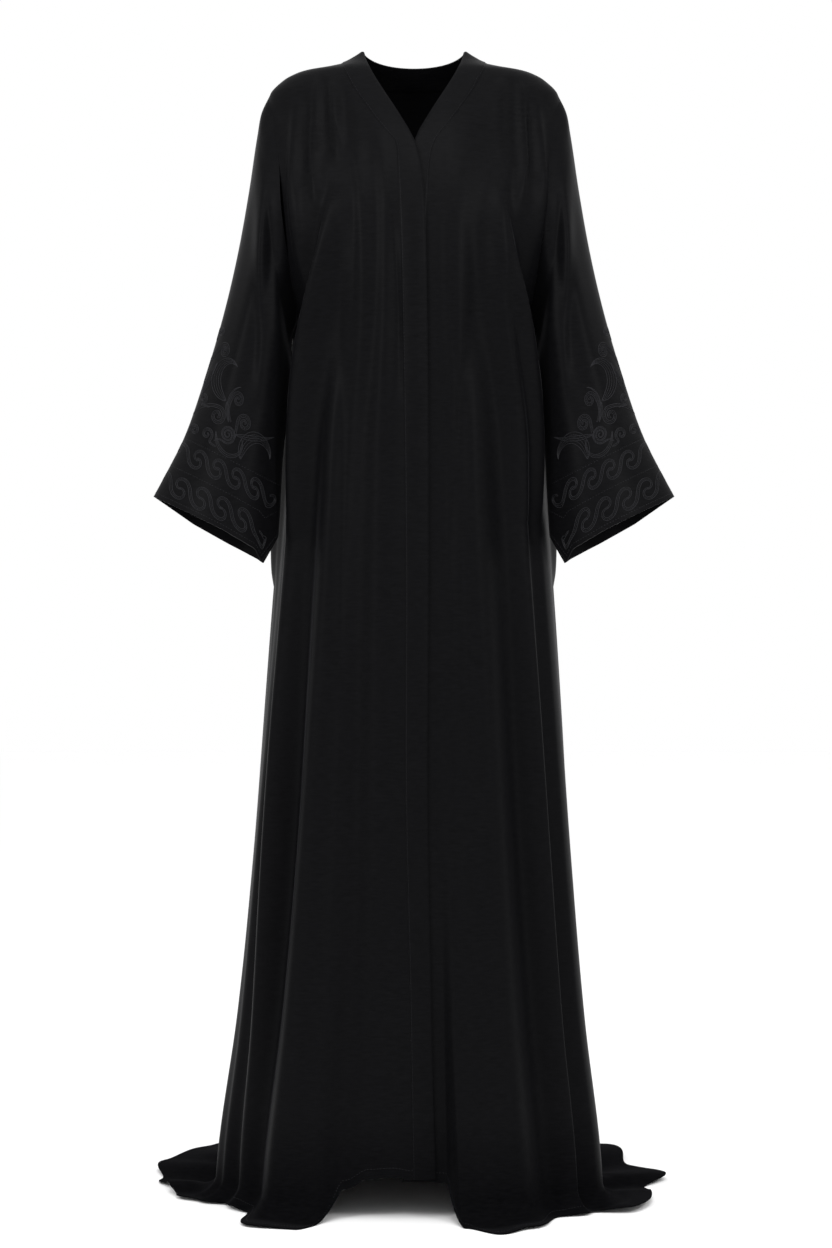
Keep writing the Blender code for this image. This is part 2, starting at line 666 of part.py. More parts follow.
def make_bands():
    """The bands that edge the neck and both fronts. The right one laps over the left one."""
    made = []
    half = SEAM_GAP / 2
    for name, side in (("front_band_left", 1), ("front_band_right", -1)):
        outer, inner = [], []
        for places, behind in ((band_front_places(side), False), (band_back_places(side), True)):
            points = body_point(*places, behind)
            outer.append(points)
            inner.append(points - BAND_CLOTH * body_normal(*places, behind))
        outer, inner = np.concatenate(outer), np.concatenate(inner)
        move = drawn_in(outer, last_row=half, first_column=half)
        if side > 0:
            move = move + underlap(outer)
        outer, inner = outer + move, inner + move
        made.append(wall_object(name, outer[:, ::-side], inner[:, ::-side]))
    return made


def make_sleeves():
    """Sleeves from the armhole to the cuff's seam, and the cuffs beyond it."""
    gap = SEAM_GAP / 0.55
    made = []
    for hand, side in (("left", 1), ("right", -1)):
        sleeve = np.linspace(0, CUFF_SEAM - gap / 2, SLEEVE_ROWS + 1)
        sleeve[0] = gap / 2
        cuff = np.linspace(CUFF_SEAM + gap / 2, 1.0, CUFF_ROWS + 1)
        for name, along in (("sleeve", sleeve), ("cuff", cuff)):
            outer = sleeve_points(side, along)
            inner = outer - CLOTH * side * grid_normals(outer)
            order = slice(None, None, -side)
            outer, inner = outer[::-1, order], inner[::-1, order]
            made.append(wall_object(f"{name}_{hand}", outer, inner, closed=True))
    return made


def main():
    for thing in list(bpy.data.objects):
        bpy.data.objects.remove(thing)
    garment = bpy.data.collections.new("abaya")
    bpy.context.scene.collection.children.link(garment)
    held_at = bpy.data.objects.new("shoulders", None)
    garment.objects.link(held_at)
    cloth = crepe()
    for thing in make_fronts() + make_back() + make_bands() + make_sleeves():
        thing.data.materials.append(cloth)
        thing.location.z = -NECK_HEIGHT
        thing.parent = held_at
        garment.objects.link(thing)


main()
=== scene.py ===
"""The abaya with its looks: fine cloth, creases, topstitching, embroidered cuffs, light and camera.

The shape follows the same sizes as the solids that the cloth replaces. Lengths are in metres.
Heights are measured up from the floor, and every mesh is lowered by the neck's height.
The front faces -Y, and the wearer's left is +X.
"""

import math

import bpy
import numpy as np
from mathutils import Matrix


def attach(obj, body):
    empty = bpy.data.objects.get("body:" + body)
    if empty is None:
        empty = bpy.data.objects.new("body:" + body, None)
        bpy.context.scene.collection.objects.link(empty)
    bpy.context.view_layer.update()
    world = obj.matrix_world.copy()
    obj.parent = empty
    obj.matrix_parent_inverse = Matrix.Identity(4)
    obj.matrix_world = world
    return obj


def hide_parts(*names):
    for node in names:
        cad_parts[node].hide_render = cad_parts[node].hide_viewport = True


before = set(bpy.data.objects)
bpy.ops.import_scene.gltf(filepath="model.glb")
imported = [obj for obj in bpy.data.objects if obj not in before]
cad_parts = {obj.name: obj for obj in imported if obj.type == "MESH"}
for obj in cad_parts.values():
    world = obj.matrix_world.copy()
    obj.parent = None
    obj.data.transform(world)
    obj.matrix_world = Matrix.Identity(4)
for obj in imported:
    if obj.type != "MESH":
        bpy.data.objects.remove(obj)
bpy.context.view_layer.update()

# Driving sizes.
NECK_HEIGHT = 1.490
SHOULDER_POINT = 1.4337
SHOULDER_ACROSS = 0.187
NECK_CORNER = 1.474
ARMPIT = 1.120
V_POINT = 1.363
FLOOR_TOP = 0.100
FLOOR_BEND = 0.030
CLOTH = 0.0015
BAND_CLOTH = 0.0020
SEAM_GAP = 0.0001
BACK_NECK_EDGE = 1.478
BACK_NECK_SEAM = 1.452
UNDERLAP = 0.0045
UNDERLAP_REACH = 0.060

HANDS = (("left", 1), ("right", -1))

# The camera: how far in front it stands, its height, and the photograph's scale.
CAMERA_AWAY = 4.0
CAMERA_LEVEL = -0.744
CAMERA_SHIFT = 2
PHOTO_HEIGHT = 1248
PIXEL = 0.0013

# Mesh fineness.
STEPS_PER_FOLD = 12
FRONT_STEPS = 112
FLOOR_ROWS = 60
SKIRT_ROWS = 116
CHEST_ROWS = 60
SHOULDER_STEPS = 34
SLEEVE_ROWS = 110
CUFF_ROWS = 44
BAND_STEPS = 14
SMOOTH_ANGLE = 60

# Thread, and how the stitches lie: millimetres along, unless named otherwise.
THREAD = 0.00036
CHAIN_STITCH = 2.4
CHAIN_SWELL = 0.3
DOT_PITCH = 3.0
PATH_STEP = 0.0011
TOPSTITCH_LENGTH = 0.0027
TOPSTITCH_PITCH = 0.0040
TOPSTITCH_THREAD = 0.0003
BAND_LIFT = 0.0013
BAND_STITCH_SHARE = 0.07
HEM_STITCH_UP = 0.012
HEM_STITCHED = 0.75
HEM_STITCH_POINTS = 260
CUFF_STITCH_LINES = (0.8435, 0.918, 0.990)

# Half width, and depth to the front and to the back, of the garment without its folds.
BODY_COLUMNS = ("height", "side", "front", "back")
BODY_SECTIONS = (
    (0.000, 0.252, 0.163, 0.232),
    (0.080, 0.246, 0.160, 0.222),
    (0.234, 0.226, 0.154, 0.203),
    (0.440, 0.207, 0.145, 0.180),
    (0.650, 0.191, 0.137, 0.158),
    (0.830, 0.177, 0.130, 0.142),
    (1.000, 0.163, 0.127, 0.128),
    (1.120, 0.156, 0.128, 0.121),
    (1.210, 0.161, 0.128, 0.122),
    (1.300, 0.169, 0.119, 0.119),
    (1.363, 0.177, 0.102, 0.111),
    (1.400, 0.182, 0.085, 0.102),
    (1.4337, 0.187, 0.063, 0.089),
    (1.449, 0.1735, 0.053, 0.080),
    (1.4575, 0.161, 0.047, 0.073),
    (1.465, 0.141, 0.041, 0.067),
    (1.4695, 0.115, 0.036, 0.063),
    (1.474, 0.0945, 0.032, 0.0595),
    (1.482, 0.078, 0.022, 0.053),
    (1.490, 0.066, 0.014, 0.046),
)

# Crests and troughs round the body, in order from the front centre towards +X.
# The angles are degrees round the body, at the chest and at the floor. The depths are
# millimetres out from the plain section. Ridge is how high the fold stands where the cloth
# lies on the floor, and hem is the hem's height, below zero by the length that lies there.
FOLD_COLUMNS = (
    "angle_chest", "angle_floor", "chest", "hip", "knee", "floor", "ridge", "hem",
)
FOLDS = (
    (0, 0, 0, 0, -2, -8, 0, 50),
    (8, 9.5, -2, -3, -5, -14, 0, 46),
    (14, 13, -1, -1, -1, 17, 0, -16),
    (20, 20, 1, 3, 6, 32, 0, -46),
    (26, 29, 2, 8, 14, 25, 3, -32),
    (42, 44, -3, -8, -12, -8, 0, -12),
    (53, 53, 2, 6, 12, 10, 2, -6),
    (60, 57, -1, -3, -4, -6, 2, -14),
    (68, 66, 1, 3, 6, 8, 8, -40),
    (90, 90, 0, 0, -5, -14, 8, -58),
    (102, 103, 1, 6, 1, -12, 0, -60),
    (114, 114, -1, -5, 7, 8, 9, -98),
    (126, 129, 3, 6, -13, -10, 0, -132),
    (139, 142, 5, 7, 15, 18, 20, -178),
    (151, 153, -4, -10, -16, -12, 0, -188),
    (164, 165, 4, 8, 15, 22, 22, -215),
    (176, 176, -5, -11, -18, -12, 0, -205),
    (188, 188, 5, 10, 17, 22, 20, -215),
    (199, 200, -4, -8, -14, -10, 0, -196),
    (211, 211, 4, 8, 14, 20, 20, -200),
    (224, 224, -4, -10, -15, -12, 30, -182),
    (237, 236, 4, 8, 14, 16, 14, -138),
    (249, 249, -3, -6, -9, -2, 0, -102),
    (259, 260, 1, 6, 6, 10, 12, -52),
    (270, 270, 0, 0, 2, 8, 4, -36),
    (278, 279, -1, -3, 1, 0, 4, -16),
    (285, 288, 0, -2, -5, -14, 0, -4),
    (293, 297, 1, 4, 11, -4, 2, -2),
    (309, 305, -4, -12, -20, -10, 0, -8),
    (323, 319, -2, 8, 16, 28, 3, -42),
    (329, 331, 1, 2, 5, 20, 0, -41),
    (337, 339, -3, -4, -7, -7, 0, 37),
    (344, 347, 1, 1, 1, -6, 0, 52),
    (351, 354, -2, -2, 0, -6, 0, 54),
)
FOLD_HEIGHTS = (0.0, 0.45, 0.85, 1.24, 1.42)

# Creases on the fronts. Each one's depth, above zero for a ridge, its width on the side
# towards the front's middle and on the outer side, and its run from the top down, as the
# distance across and the height of each of its points, seen from the front, all millimetres.
# The gain deepens them all, and a low roundness keeps their depth nearly to the ends.
CREASE_GAIN = 1.25
CREASE_ROUNDNESS = 0.7
CREASE_SIDE_FADE = 0.012
CREASE_TOP_FADE = 0.03
FRONT_CREASES = (
    # The edge of the right side's panel, from the bust to the hem.
    (17.0, 24, 7, (
        (-102, 1315), (-117, 1245), (-130, 1180),
        (-142, 1090), (-151, 985), (-160, 860),
    )),
    (-9.0, 9, 12, ((-124, 1290), (-138, 1200), (-156, 1080), (-168, 960))),
    (-5.5, 22, 8, ((-97, 1290), (-96, 1180), (-95, 1040), (-96, 830), (-92, 600))),
    (-3.5, 6, 18, ((-34, 1305), (-28, 1245), (-23, 1170), (-21, 1040))),
    # Soft folds that hang from the right shoulder.
    (4.5, 9, 5, ((-126, 1460), (-128, 1410), (-131, 1340), (-128, 1290))),
    (-4.0, 6, 8, ((-117, 1458), (-115, 1400), (-112, 1350))),
    (4.0, 8, 5, ((-107, 1455), (-105, 1400), (-100, 1350))),
    (-3.0, 7, 8, ((-92, 1450), (-88, 1400), (-83, 1360))),
    (5.0, 9, 6, ((-150, 1440), (-156, 1370), (-158, 1300), (-150, 1220), (-144, 1180))),
    (-4.0, 6, 7, ((-140, 1440), (-144, 1370), (-146, 1310))),
    # The edge of the left side's panel, from the bust to the hem.
    (17.0, 24, 7, ((112, 1310), (122, 1240), (135, 1165), (145, 1085), (154, 1010), (163, 880))),
    (-9.0, 9, 12, ((136, 1280), (146, 1190), (160, 1070), (172, 960))),
    # The crease that runs from each shoulder point down the sleeve, and the hollow inside it.
    (6.0, 14, 7, ((204, 1400), (203, 1350), (202, 1280), (198, 1200), (194, 1120), (196, 1030))),
    (-2.5, 14, 13, ((190, 1380), (189, 1300), (181, 1210), (172, 1130))),
    (6.0, 14, 7, (
        (-204, 1400), (-205, 1350), (-203, 1280),
        (-200, 1200), (-197, 1120), (-199, 1030),
    )),
    (-2.5, 14, 13, ((-192, 1385), (-190, 1300), (-181, 1210), (-171, 1130))),
    (4.0, 14, 7, ((94, 1290), (101, 1220), (117, 1090), (126, 1010), (130, 900))),
    (-3.5, 10, 14, ((70, 1290), (78, 1220), (76, 1140), (66, 1050), (52, 900), (40, 800))),
    # Soft folds that hang from the left shoulder.
    (4.5, 9, 5, ((138, 1450), (142, 1400), (144, 1350), (140, 1290))),
    (-4.0, 6, 8, ((129, 1455), (131, 1400), (130, 1350))),
    (5.0, 9, 6, ((156, 1435), (164, 1370), (168, 1300), (162, 1225))),
    (-4.0, 6, 7, ((148, 1440), (152, 1380), (154, 1320))),
    (3.5, 8, 6, ((112, 1455), (112, 1400), (108, 1350))),
)
SIDE_LEFT_FOLD = 9
SIDE_RIGHT_FOLD = 24
SIDE_FULLNESS = 0.014
SIDE_FULL_HEIGHTS = (0.80, 1.14)
SIDE_FULL_FOLDS = 0.8

# The front bands: where each one's seam and free edge lie across the front.
PLACKET_COLUMNS = ("height", "right_seam", "right_edge", "left_seam", "left_edge")
PLACKET = (
    (0.030, -0.0010, 0.0290, 0.0160, -0.0140),
    (0.275, -0.0050, 0.0220, 0.0110, -0.0180),
    (0.525, -0.0110, 0.0170, 0.0080, -0.0210),
    (0.790, -0.0110, 0.0185, 0.0090, -0.0200),
    (1.055, -0.0135, 0.0178, 0.0090, -0.0200),
    (1.207, -0.0165, 0.0155, 0.0130, -0.0170),
    (1.270, -0.0185, 0.0138, 0.0162, -0.0140),
    (1.307, -0.0200, 0.0113, 0.0185, -0.0115),
    (1.333, -0.0212, 0.0084, 0.0201, -0.0090),
    (1.349, -0.0218, 0.0046, 0.0230, -0.0055),
    (1.361, -0.0245, 0.0000, 0.0275, 0.0010),
)

# The bands from the V point up to the neck point: half widths and heights of both edges.
NECK_COLUMNS = ("along", "edge_across", "edge_height", "seam_across", "seam_height")
NECK_RUN = (
    (0.00, 0.0000, 1.3630, 0.0250, 1.3600),
    (0.25, 0.0215, 1.4005, 0.0470, 1.3870),
    (0.50, 0.0385, 1.4290, 0.0640, 1.4120),
    (0.72, 0.0525, 1.4540, 0.0790, 1.4360),
    (0.87, 0.0605, 1.4720, 0.0880, 1.4560),
    (1.00, 0.0660, 1.4900, 0.0945, 1.4740),
)

# The sleeve from the armhole, 0, to the cuff's edge, 1: the top fold over the arm, the
# underarm fold, how far the sleeve swings forward, and how deep its front and back swell.
SLEEVE_COLUMNS = (
    "along", "top_across", "top_height", "under_across", "under_height",
    "forward", "front_swell", "back_swell",
)
SLEEVE_SECTIONS = (
    (0.00, 0.1870, 1.4337, 0.1560, 1.1200, 0.000, 0.066, 0.070),
    (0.05, 0.1980, 1.4100, 0.1580, 1.1100, 0.001, 0.067, 0.069),
    (0.10, 0.2030, 1.3830, 0.1600, 1.0990, 0.002, 0.067, 0.068),
    (0.25, 0.2140, 1.3070, 0.1590, 1.0680, 0.006, 0.066, 0.063),
    (0.40, 0.2285, 1.2250, 0.1608, 1.0350, 0.011, 0.062, 0.058),
    (0.55, 0.2470, 1.1440, 0.1650, 1.0000, 0.018, 0.058, 0.054),
    (0.70, 0.2715, 1.0590, 0.1690, 0.9640, 0.025, 0.057, 0.051),
    (0.84, 0.2960, 0.9875, 0.1710, 0.9245, 0.031, 0.058, 0.049),
    (0.92, 0.3145, 0.9495, 0.1725, 0.8920, 0.034, 0.060, 0.049),
    (1.00, 0.3355, 0.9100, 0.1745, 0.8590, 0.037, 0.062, 0.049),
)
CUFF_SEAM = 0.84
SLEEVE_LENGTH = 0.55
SWELL_BLEND = 0.16
CHEST_BLEND = 0.14
SHOULDER_BLEND = 0.16
EDGE_BLEND = 4
ARMHOLE_ROUNDNESS = 0.85
ARM_ROUNDNESS = 0.54
CUFF_ROUNDNESS = 0.62
# How far the cuff's hem hangs below the line between its two edge folds, in millimetres.
# Across is 0 at the top fold and 1 at the underarm, and both layers come to one low tip.
HEM_BOW_COLUMNS = ("across", "front", "back")
HEM_BOW = (
    (0.00, 0, 0),
    (0.30, 7, 19),
    (0.58, 15, 30),
    (0.83, 26, 38),
    (0.87, 39, 41),
    (1.00, 0, 0),
)
FRONT_SKEW = 0.10

# Soft folds that run down the sleeve: across is 0 at the top fold and 1 at the underarm.
# The columns are across at the armhole, across at the cuff, width, and the depth in
# millimetres at the armhole, at the elbow and at the cuff.
SLEEVE_FRONT_FOLDS = (
    (0.30, 0.22, 0.10, 5.0, 4.0, 0.0),
    (0.52, 0.45, 0.09, -3.0, -3.0, 0.0),
    (0.74, 0.72, 0.10, 4.0, 3.0, 1.0),
    (0.90, 0.90, 0.06, -4.0, -4.0, -2.0),
)
SLEEVE_BACK_FOLDS = (
    (0.26, 0.30, 0.10, 5.0, 6.0, 2.0),
    (0.48, 0.52, 0.10, -6.0, -7.0, -3.0),
    (0.70, 0.74, 0.10, 5.0, 6.0, 3.0),
)
SLEEVE_FOLD_PLACES = (0.0, 0.12, 0.5, 1.0)
ARMHOLE_REACH = 0.12

# Soft folds that hang from the shoulder blades, and from the back of each shoulder.
BACK_CREASES = (
    (4.0, 12, 9, ((-95, 1390), (-104, 1300), (-112, 1180), (-118, 1000))),
    (-4.0, 10, 12, ((-78, 1380), (-84, 1280), (-88, 1140), (-90, 1000))),
    (4.5, 12, 9, ((102, 1400), (110, 1290), (116, 1150), (122, 980))),
    (-4.0, 10, 12, ((84, 1390), (90, 1270), (95, 1120), (96, 960))),
    (-3.5, 14, 14, ((12, 1360), (8, 1240), (10, 1100), (14, 940))),
    (3.0, 12, 12, ((-36, 1370), (-40, 1240), (-46, 1080), (-50, 900))),
    (3.0, 12, 12, ((48, 1375), (52, 1250), (56, 1100), (62, 900))),
    (3.5, 9, 7, ((150, 1420), (157, 1350), (158, 1270), (150, 1190))),
    (-3.0, 8, 8, ((138, 1425), (143, 1350), (143, 1280))),
    (3.5, 9, 7, ((-152, 1420), (-160, 1350), (-161, 1270), (-152, 1190))),
    (-3.0, 8, 8, ((-140, 1425), (-145, 1350), (-146, 1280))),
    (4.5, 12, 9, ((205, 1395), (204, 1310), (202, 1220), (205, 1120), (214, 1020))),
    (-5.0, 9, 10, ((190, 1370), (188, 1280), (182, 1190), (178, 1110))),
    (4.5, 12, 9, ((-205, 1395), (-206, 1310), (-204, 1220), (-208, 1120), (-217, 1020))),
    (-5.0, 9, 10, ((-191, 1370), (-189, 1280), (-183, 1190), (-179, 1110))),
)

# The embroidery, in millimetres from the cuff's seam: across from the sleeve's top fold
# towards the underarm, and up the sleeve, below zero on the cuff. Angles are degrees.
EMBROIDERED = (0.50, 1.0)
FOLD_TO_FOLD = 145.0
# The sleeve's whole length at its top fold, and how much shorter it is at the underarm, as
# the scrolls above the cuff's seam and the border below it are laid out.
SCROLL_LENGTHS = (560, 300)
BORDER_LENGTHS = (540, 125)
# Each S scroll of the border: its centre and its height.
S_TURNING = 4.9
S_TIGHTENING = 1.8
S_HALF_WIDTH = 1.9
S_TILT = -62
S_SCROLLS = (
    ((17, -20), 21),
    ((45, -19), 21),
    ((72, -18), 20),
    ((98, -17), 19),
    ((122, -16), 17),
    ((12, -62), 21),
    ((38, -60), 21),
    ((64, -57), 20),
    ((89, -54), 19),
    ((113, -51), 17),
)
# Curls: across, up, radius, turns, starting angle, the stem's across and up, half width.
CURLS = (
    (11, 14, 7.5, -1.3, 200, 1, 4, 1.5),
    (31, 16, 8.5, 1.3, 330, 48, 6, 1.5),
    (60, 27, 11.5, 2.6, 250, 44, 12, 1.0),
    (38, 44, 11.5, -1.5, 100, 0, 33, 2.2),
    (62, 74, 9.0, -1.4, 170, 60, 44, 1.8),
    (80, 50, 10.5, -1.6, 190, 71, 26, 1.9),
    (20, 123, 8.5, -1.35, 150, 3, 74, 2.3),
    (6, 143, 6.0, -1.4, 200, 1, 132, 1.3),
    (9, 58, 6.5, 1.3, 280, 22, 50, 1.4),
)
# Leaves: across, up, heading, length, bend, half width, number of lines.
LEAVES = (
    (46, 66, 165, 84, -198, 7.5, 5),
    (86, 4, 100, 78, -192, 7.5, 5),
    (42, 25, -72, 74, 200, 2.2, 3),
    (70, 31, 8, 62, 28, 3.0, 3),
    (48, 62, 95, 34, -75, 0.8, 2),
    (4, 62, 80, 46, -6, 3.0, 4),
    (46, 66, -70, 26, 10, 2.0, 3),
)

# Dark and light, for the crepe's dyed threads, the embroidery and the sewing thread.
CREPE_SHADES = ((0.0021, 0.0021, 0.0024), (0.0036, 0.0036, 0.0041))
FLOSS_SHADES = ((0.010, 0.010, 0.011), (0.022, 0.022, 0.025))
SEWING_SHADES = ((0.014, 0.014, 0.016), (0.028, 0.028, 0.031))
CREPE_GLOSS = 0.028
DULL_BELOW = (-1.47, -1.36)
CHEST = (0.0, -0.1, -0.35)
MIDDLE = (0.0, 0.0, -0.75)
# Lights: name, place, the point that it faces, size and power.
LIGHTS = (
    ("key", (-1.7, -1.9, 0.5), CHEST, 0.7, 27.0),
    ("fill", (1.7, -1.9, 0.5), CHEST, 0.7, 23.0),
    ("front", (0.0, -1.5, 1.2), CHEST, 0.9, 18.0),
    ("top", (0.0, -0.3, 3.0), MIDDLE, 2.0, 8.0),
)
FLOOR_SIZE = 14.0
FLOOR_BELOW = 0.0004
SENSOR = 24.0


def curve_through(keys, values, at):
    """Values on a smooth curve through the points (keys, values), read at each of at."""
    keys = np.asarray(keys, float)
    values = np.asarray(values, float)
    at = np.clip(np.asarray(at, float), keys[0], keys[-1])
    width = np.diff(keys).reshape((-1,) + (1,) * (values.ndim - 1))
    rise = np.diff(values, axis=0) / width
    slope = np.concatenate([rise[:1], (rise[:-1] + rise[1:]) / 2, rise[-1:]])
    i = np.clip(np.searchsorted(keys, at, side="right") - 1, 0, len(keys) - 2)
    span = keys[i + 1] - keys[i]
    f = (at - keys[i]) / span
    if values.ndim > 1:
        f, span = f[..., None], span[..., None]
    return (
        values[i] * (1 + 2 * f) * (1 - f) ** 2
        + values[i + 1] * f**2 * (3 - 2 * f)
        + slope[i] * span * f * (1 - f) ** 2
        - slope[i + 1] * span * f**2 * (1 - f)
    )


def read(rows, names, wanted, at):
    """The column called wanted, at positions along the table's first column."""
    rows = np.asarray(rows, float)
    return curve_through(rows[:, 0], rows[:, names.index(wanted)], at)


def body_size(wanted, height):
    """The plain section's half width or depth, called side, front or back."""
    return read(BODY_SECTIONS, BODY_COLUMNS, wanted, height)


def placket(wanted, height):
    """How far across the front a band's seam or edge lies."""
    return read(PLACKET, PLACKET_COLUMNS, wanted, height)


def neck_run(wanted, along):
    """Half width or height of a band's seam or edge beside the neck."""
    return read(NECK_RUN, NECK_COLUMNS, wanted, along)


def neck_along(height):
    """The place along the neck's run at which the seam has that height."""
    runs = np.linspace(0, 1, 101)
    return np.interp(height, neck_run("seam_height", runs), runs)


def first_section(wanted):
    """A size of the sleeve at the armhole."""
    return SLEEVE_SECTIONS[0][SLEEVE_COLUMNS.index(wanted)]


def fold_column(wanted):
    """One column of the fold table, with a value for each fold."""
    return np.asarray(FOLDS, float)[:, FOLD_COLUMNS.index(wanted)]


def unit(vectors):
    """The same vectors with length 1."""
    return vectors / np.linalg.norm(vectors, axis=-1, keepdims=True)


def ease(x):
    """0 to 1 with a soft start and end."""
    x = np.clip(x, 0.0, 1.0)
    return x * x * (3 - 2 * x)


def lens(across, roundness):
    """Height of a flattened tube between its two edge folds: 0 at both, 1 in the middle."""
    return np.sin(math.pi * np.clip(across, 0.0, 1.0)) ** roundness


def armhole_swell(height, behind):
    """How far the armhole's edge stands before or behind the shoulder plane."""
    swell = first_section("back_swell" if behind else "front_swell")
    down = (SHOULDER_POINT - height) / (SHOULDER_POINT - ARMPIT)
    inside = (down > 0) & (down < 1)
    return np.where(inside, swell * lens(down, ARMHOLE_ROUNDNESS), 0.0)


def chest_swell(height, behind):
    """The same for the cloth away from the armhole, which starts to widen lower down."""
    swell = first_section("back_swell" if behind else "front_swell")
    rising = ease((height - ARMPIT + SWELL_BLEND) / (SWELL_BLEND + CHEST_BLEND))
    return swell * rising * ease((SHOULDER_POINT - height) / SHOULDER_BLEND)


def section_point(turn, height, behind, swell):
    """Points on the plain section, and the outward direction times its size there.

    Turn is 0 in the middle of the front or back, and 90 degrees at the side or armhole.
    """
    facing = 1.0 if behind else -1.0
    side = body_size("side", height)
    reach = body_size("back" if behind else "front", height)
    cut = np.minimum(swell / reach, 0.9)
    across = side / np.sqrt(1 - cut**2)
    sweep = turn * np.arccos(cut) / (math.pi / 2)
    point = np.stack([across * np.sin(sweep), facing * reach * np.cos(sweep)], axis=-1)
    out = np.stack([np.sin(sweep) / across, facing * np.cos(sweep) / reach], axis=-1)
    return point, unit(out)


def fold_angle(fold, height):
    """Angle in degrees round the body at a fold number."""
    chest, floor = fold_column("angle_chest"), fold_column("angle_floor")
    first = np.floor(fold).astype(int)
    turn = first // len(FOLDS)
    a, b = first % len(FOLDS), (first + 1) % len(FOLDS)
    down = ease(1 - height / FOLD_HEIGHTS[3])
    angle_a = chest[a] + (floor[a] - chest[a]) * down
    angle_b = chest[b] + (floor[b] - chest[b]) * down + 360.0 * (b == 0)
    return angle_a + (angle_b - angle_a) * (fold - first) + 360.0 * turn


def fold_at(fold, height):
    """Angle in degrees, depth out and ridge in metres, and hem height, at a fold number."""
    fold, height = np.broadcast_arrays(np.asarray(fold, float), np.asarray(height, float))
    first = np.floor(fold).astype(int)
    share = fold - first
    a, b = first % len(FOLDS), (first + 1) % len(FOLDS)
    depths = [fold_column(name) for name in ("floor", "knee", "hip", "chest")]
    depths = np.stack(depths + [0 * depths[0]])
    at_height = curve_through(FOLD_HEIGHTS, depths, height.ravel())
    spot = np.arange(height.size)
    wave = (1 - np.cos(math.pi * share)) / 2

    def between(at_a, at_b):
        return (at_a + (at_b - at_a) * wave) / 1000

    depth = between(
        at_height[spot, a.ravel()].reshape(height.shape),
        at_height[spot, b.ravel()].reshape(height.shape),
    )
    ridge, hem = fold_column("ridge"), fold_column("hem")
    return fold_angle(fold, height), depth, between(ridge[a], ridge[b]), between(hem[a], hem[b])


def side_fullness(fold, height):
    """Metres that the cloth stands out just behind the side seam, where the sleeve lies on it."""
    low, high = SIDE_FULL_HEIGHTS
    folds = (SIDE_LEFT_FOLD + 1.0, SIDE_RIGHT_FOLD - 1.0)
    bump = sum(np.exp(-(((fold - middle) / SIDE_FULL_FOLDS) ** 2)) for middle in folds)
    return SIDE_FULLNESS * bump * lens((height - low) / (high - low), 0.5)


def band_shares():
    """Places across a band, from its seam, 0, to its free edge, 1, closest at the edges."""
    return (1 - np.cos(np.linspace(0, math.pi, BAND_STEPS + 1))) / 2


def band_lift():
    """How far the doubled band stands off the panel, with both edges rounded."""
    share = band_shares()
    return BAND_LIFT * (0.15 + 0.85 * ease(share / 0.07) * ease((1 - share) / 0.07))


def crease_depth(table, across, height):
    """Metres out that a table's creases move the cloth, at places seen from the front."""
    across, height = across * 1000, height * 1000
    total = np.zeros_like(across)
    for depth, inner, outer, run in table:
        run = np.asarray(run[::-1], float)
        path = curve_through(run[:, 1], run[:, 0], height)
        along = np.clip((height - run[0, 1]) / (run[-1, 1] - run[0, 1]), 0, 1)
        off = across - path
        outside = (off > 0) == (path > 0)
        width = np.where(outside, outer, inner)
        deep = CREASE_GAIN * depth * lens(along, CREASE_ROUNDNESS)
        total = total + deep * np.exp(-((off / width) ** 2))
    return total / 1000


def seen_from_front(point):
    """Across and height of points as the camera in front of the garment sees them."""
    nearness = CAMERA_AWAY / (CAMERA_AWAY + point[..., 1])
    level = CAMERA_LEVEL + NECK_HEIGHT
    return point[..., 0] * nearness, level + (point[..., 2] - level) * nearness


def body_point(fold, height, behind):
    """Points on the cloth's outer face, by fold number and height along the cloth.

    A height under FLOOR_BEND turns outwards there, and what is left of it lies on the floor.
    Behind is true for the back, and false for the fronts.
    """
    angle, depth, ridge, hem = fold_at(fold, height)
    depth = depth + side_fullness(fold, height)
    level = np.clip(height, 0.0, NECK_HEIGHT) + 0 * angle
    turn = np.radians((angle + 180.0) % 360.0 - 180.0)
    if behind:
        turn = math.pi - turn % (2 * math.pi)
    soft, soft_out = section_point(turn, level, behind, chest_swell(level, behind))
    edge, edge_out = section_point(turn, level, behind, armhole_swell(level, behind))
    near_edge = np.clip(np.abs(turn) / (math.pi / 2), 0, 1)[..., None] ** EDGE_BLEND
    point = soft + (edge - soft) * near_edge
    out = soft_out + (edge_out - soft_out) * near_edge
    past = FLOOR_BEND - np.minimum(height, FLOOR_BEND)
    bend = np.minimum(past / FLOOR_BEND, math.pi / 2)
    flat = np.maximum(past - FLOOR_BEND * math.pi / 2, 0.0)
    run = FLOOR_BEND * (1 - np.cos(bend)) + flat
    lying = FLOOR_BEND * (1 - np.sin(bend))
    swollen = ridge * ease(past / 0.06) * (1 - 0.55 * ease((past - 0.06) / 0.16))
    z = np.where(past > 0, lying + swollen, height) + CLOTH * ease(past / 0.02)
    point = point + out * (depth + run)[..., None]
    full = np.concatenate([point, z[..., None]], axis=-1)
    table = BACK_CREASES if behind else FRONT_CREASES
    across, seen_height = seen_from_front(full)
    side = body_size("side", height)
    inside = ease((side - np.abs(point[..., 0])) / CREASE_SIDE_FADE)
    inside = np.maximum(inside, ease((height - ARMPIT - 0.004) / CREASE_TOP_FADE))
    below_seam = shoulder_height(np.abs(point[..., 0])) - height
    inside = inside * ease(below_seam / CREASE_TOP_FADE)
    more = crease_depth(table, across, seen_height) * inside
    full[..., :2] += out * more[..., None]
    return full


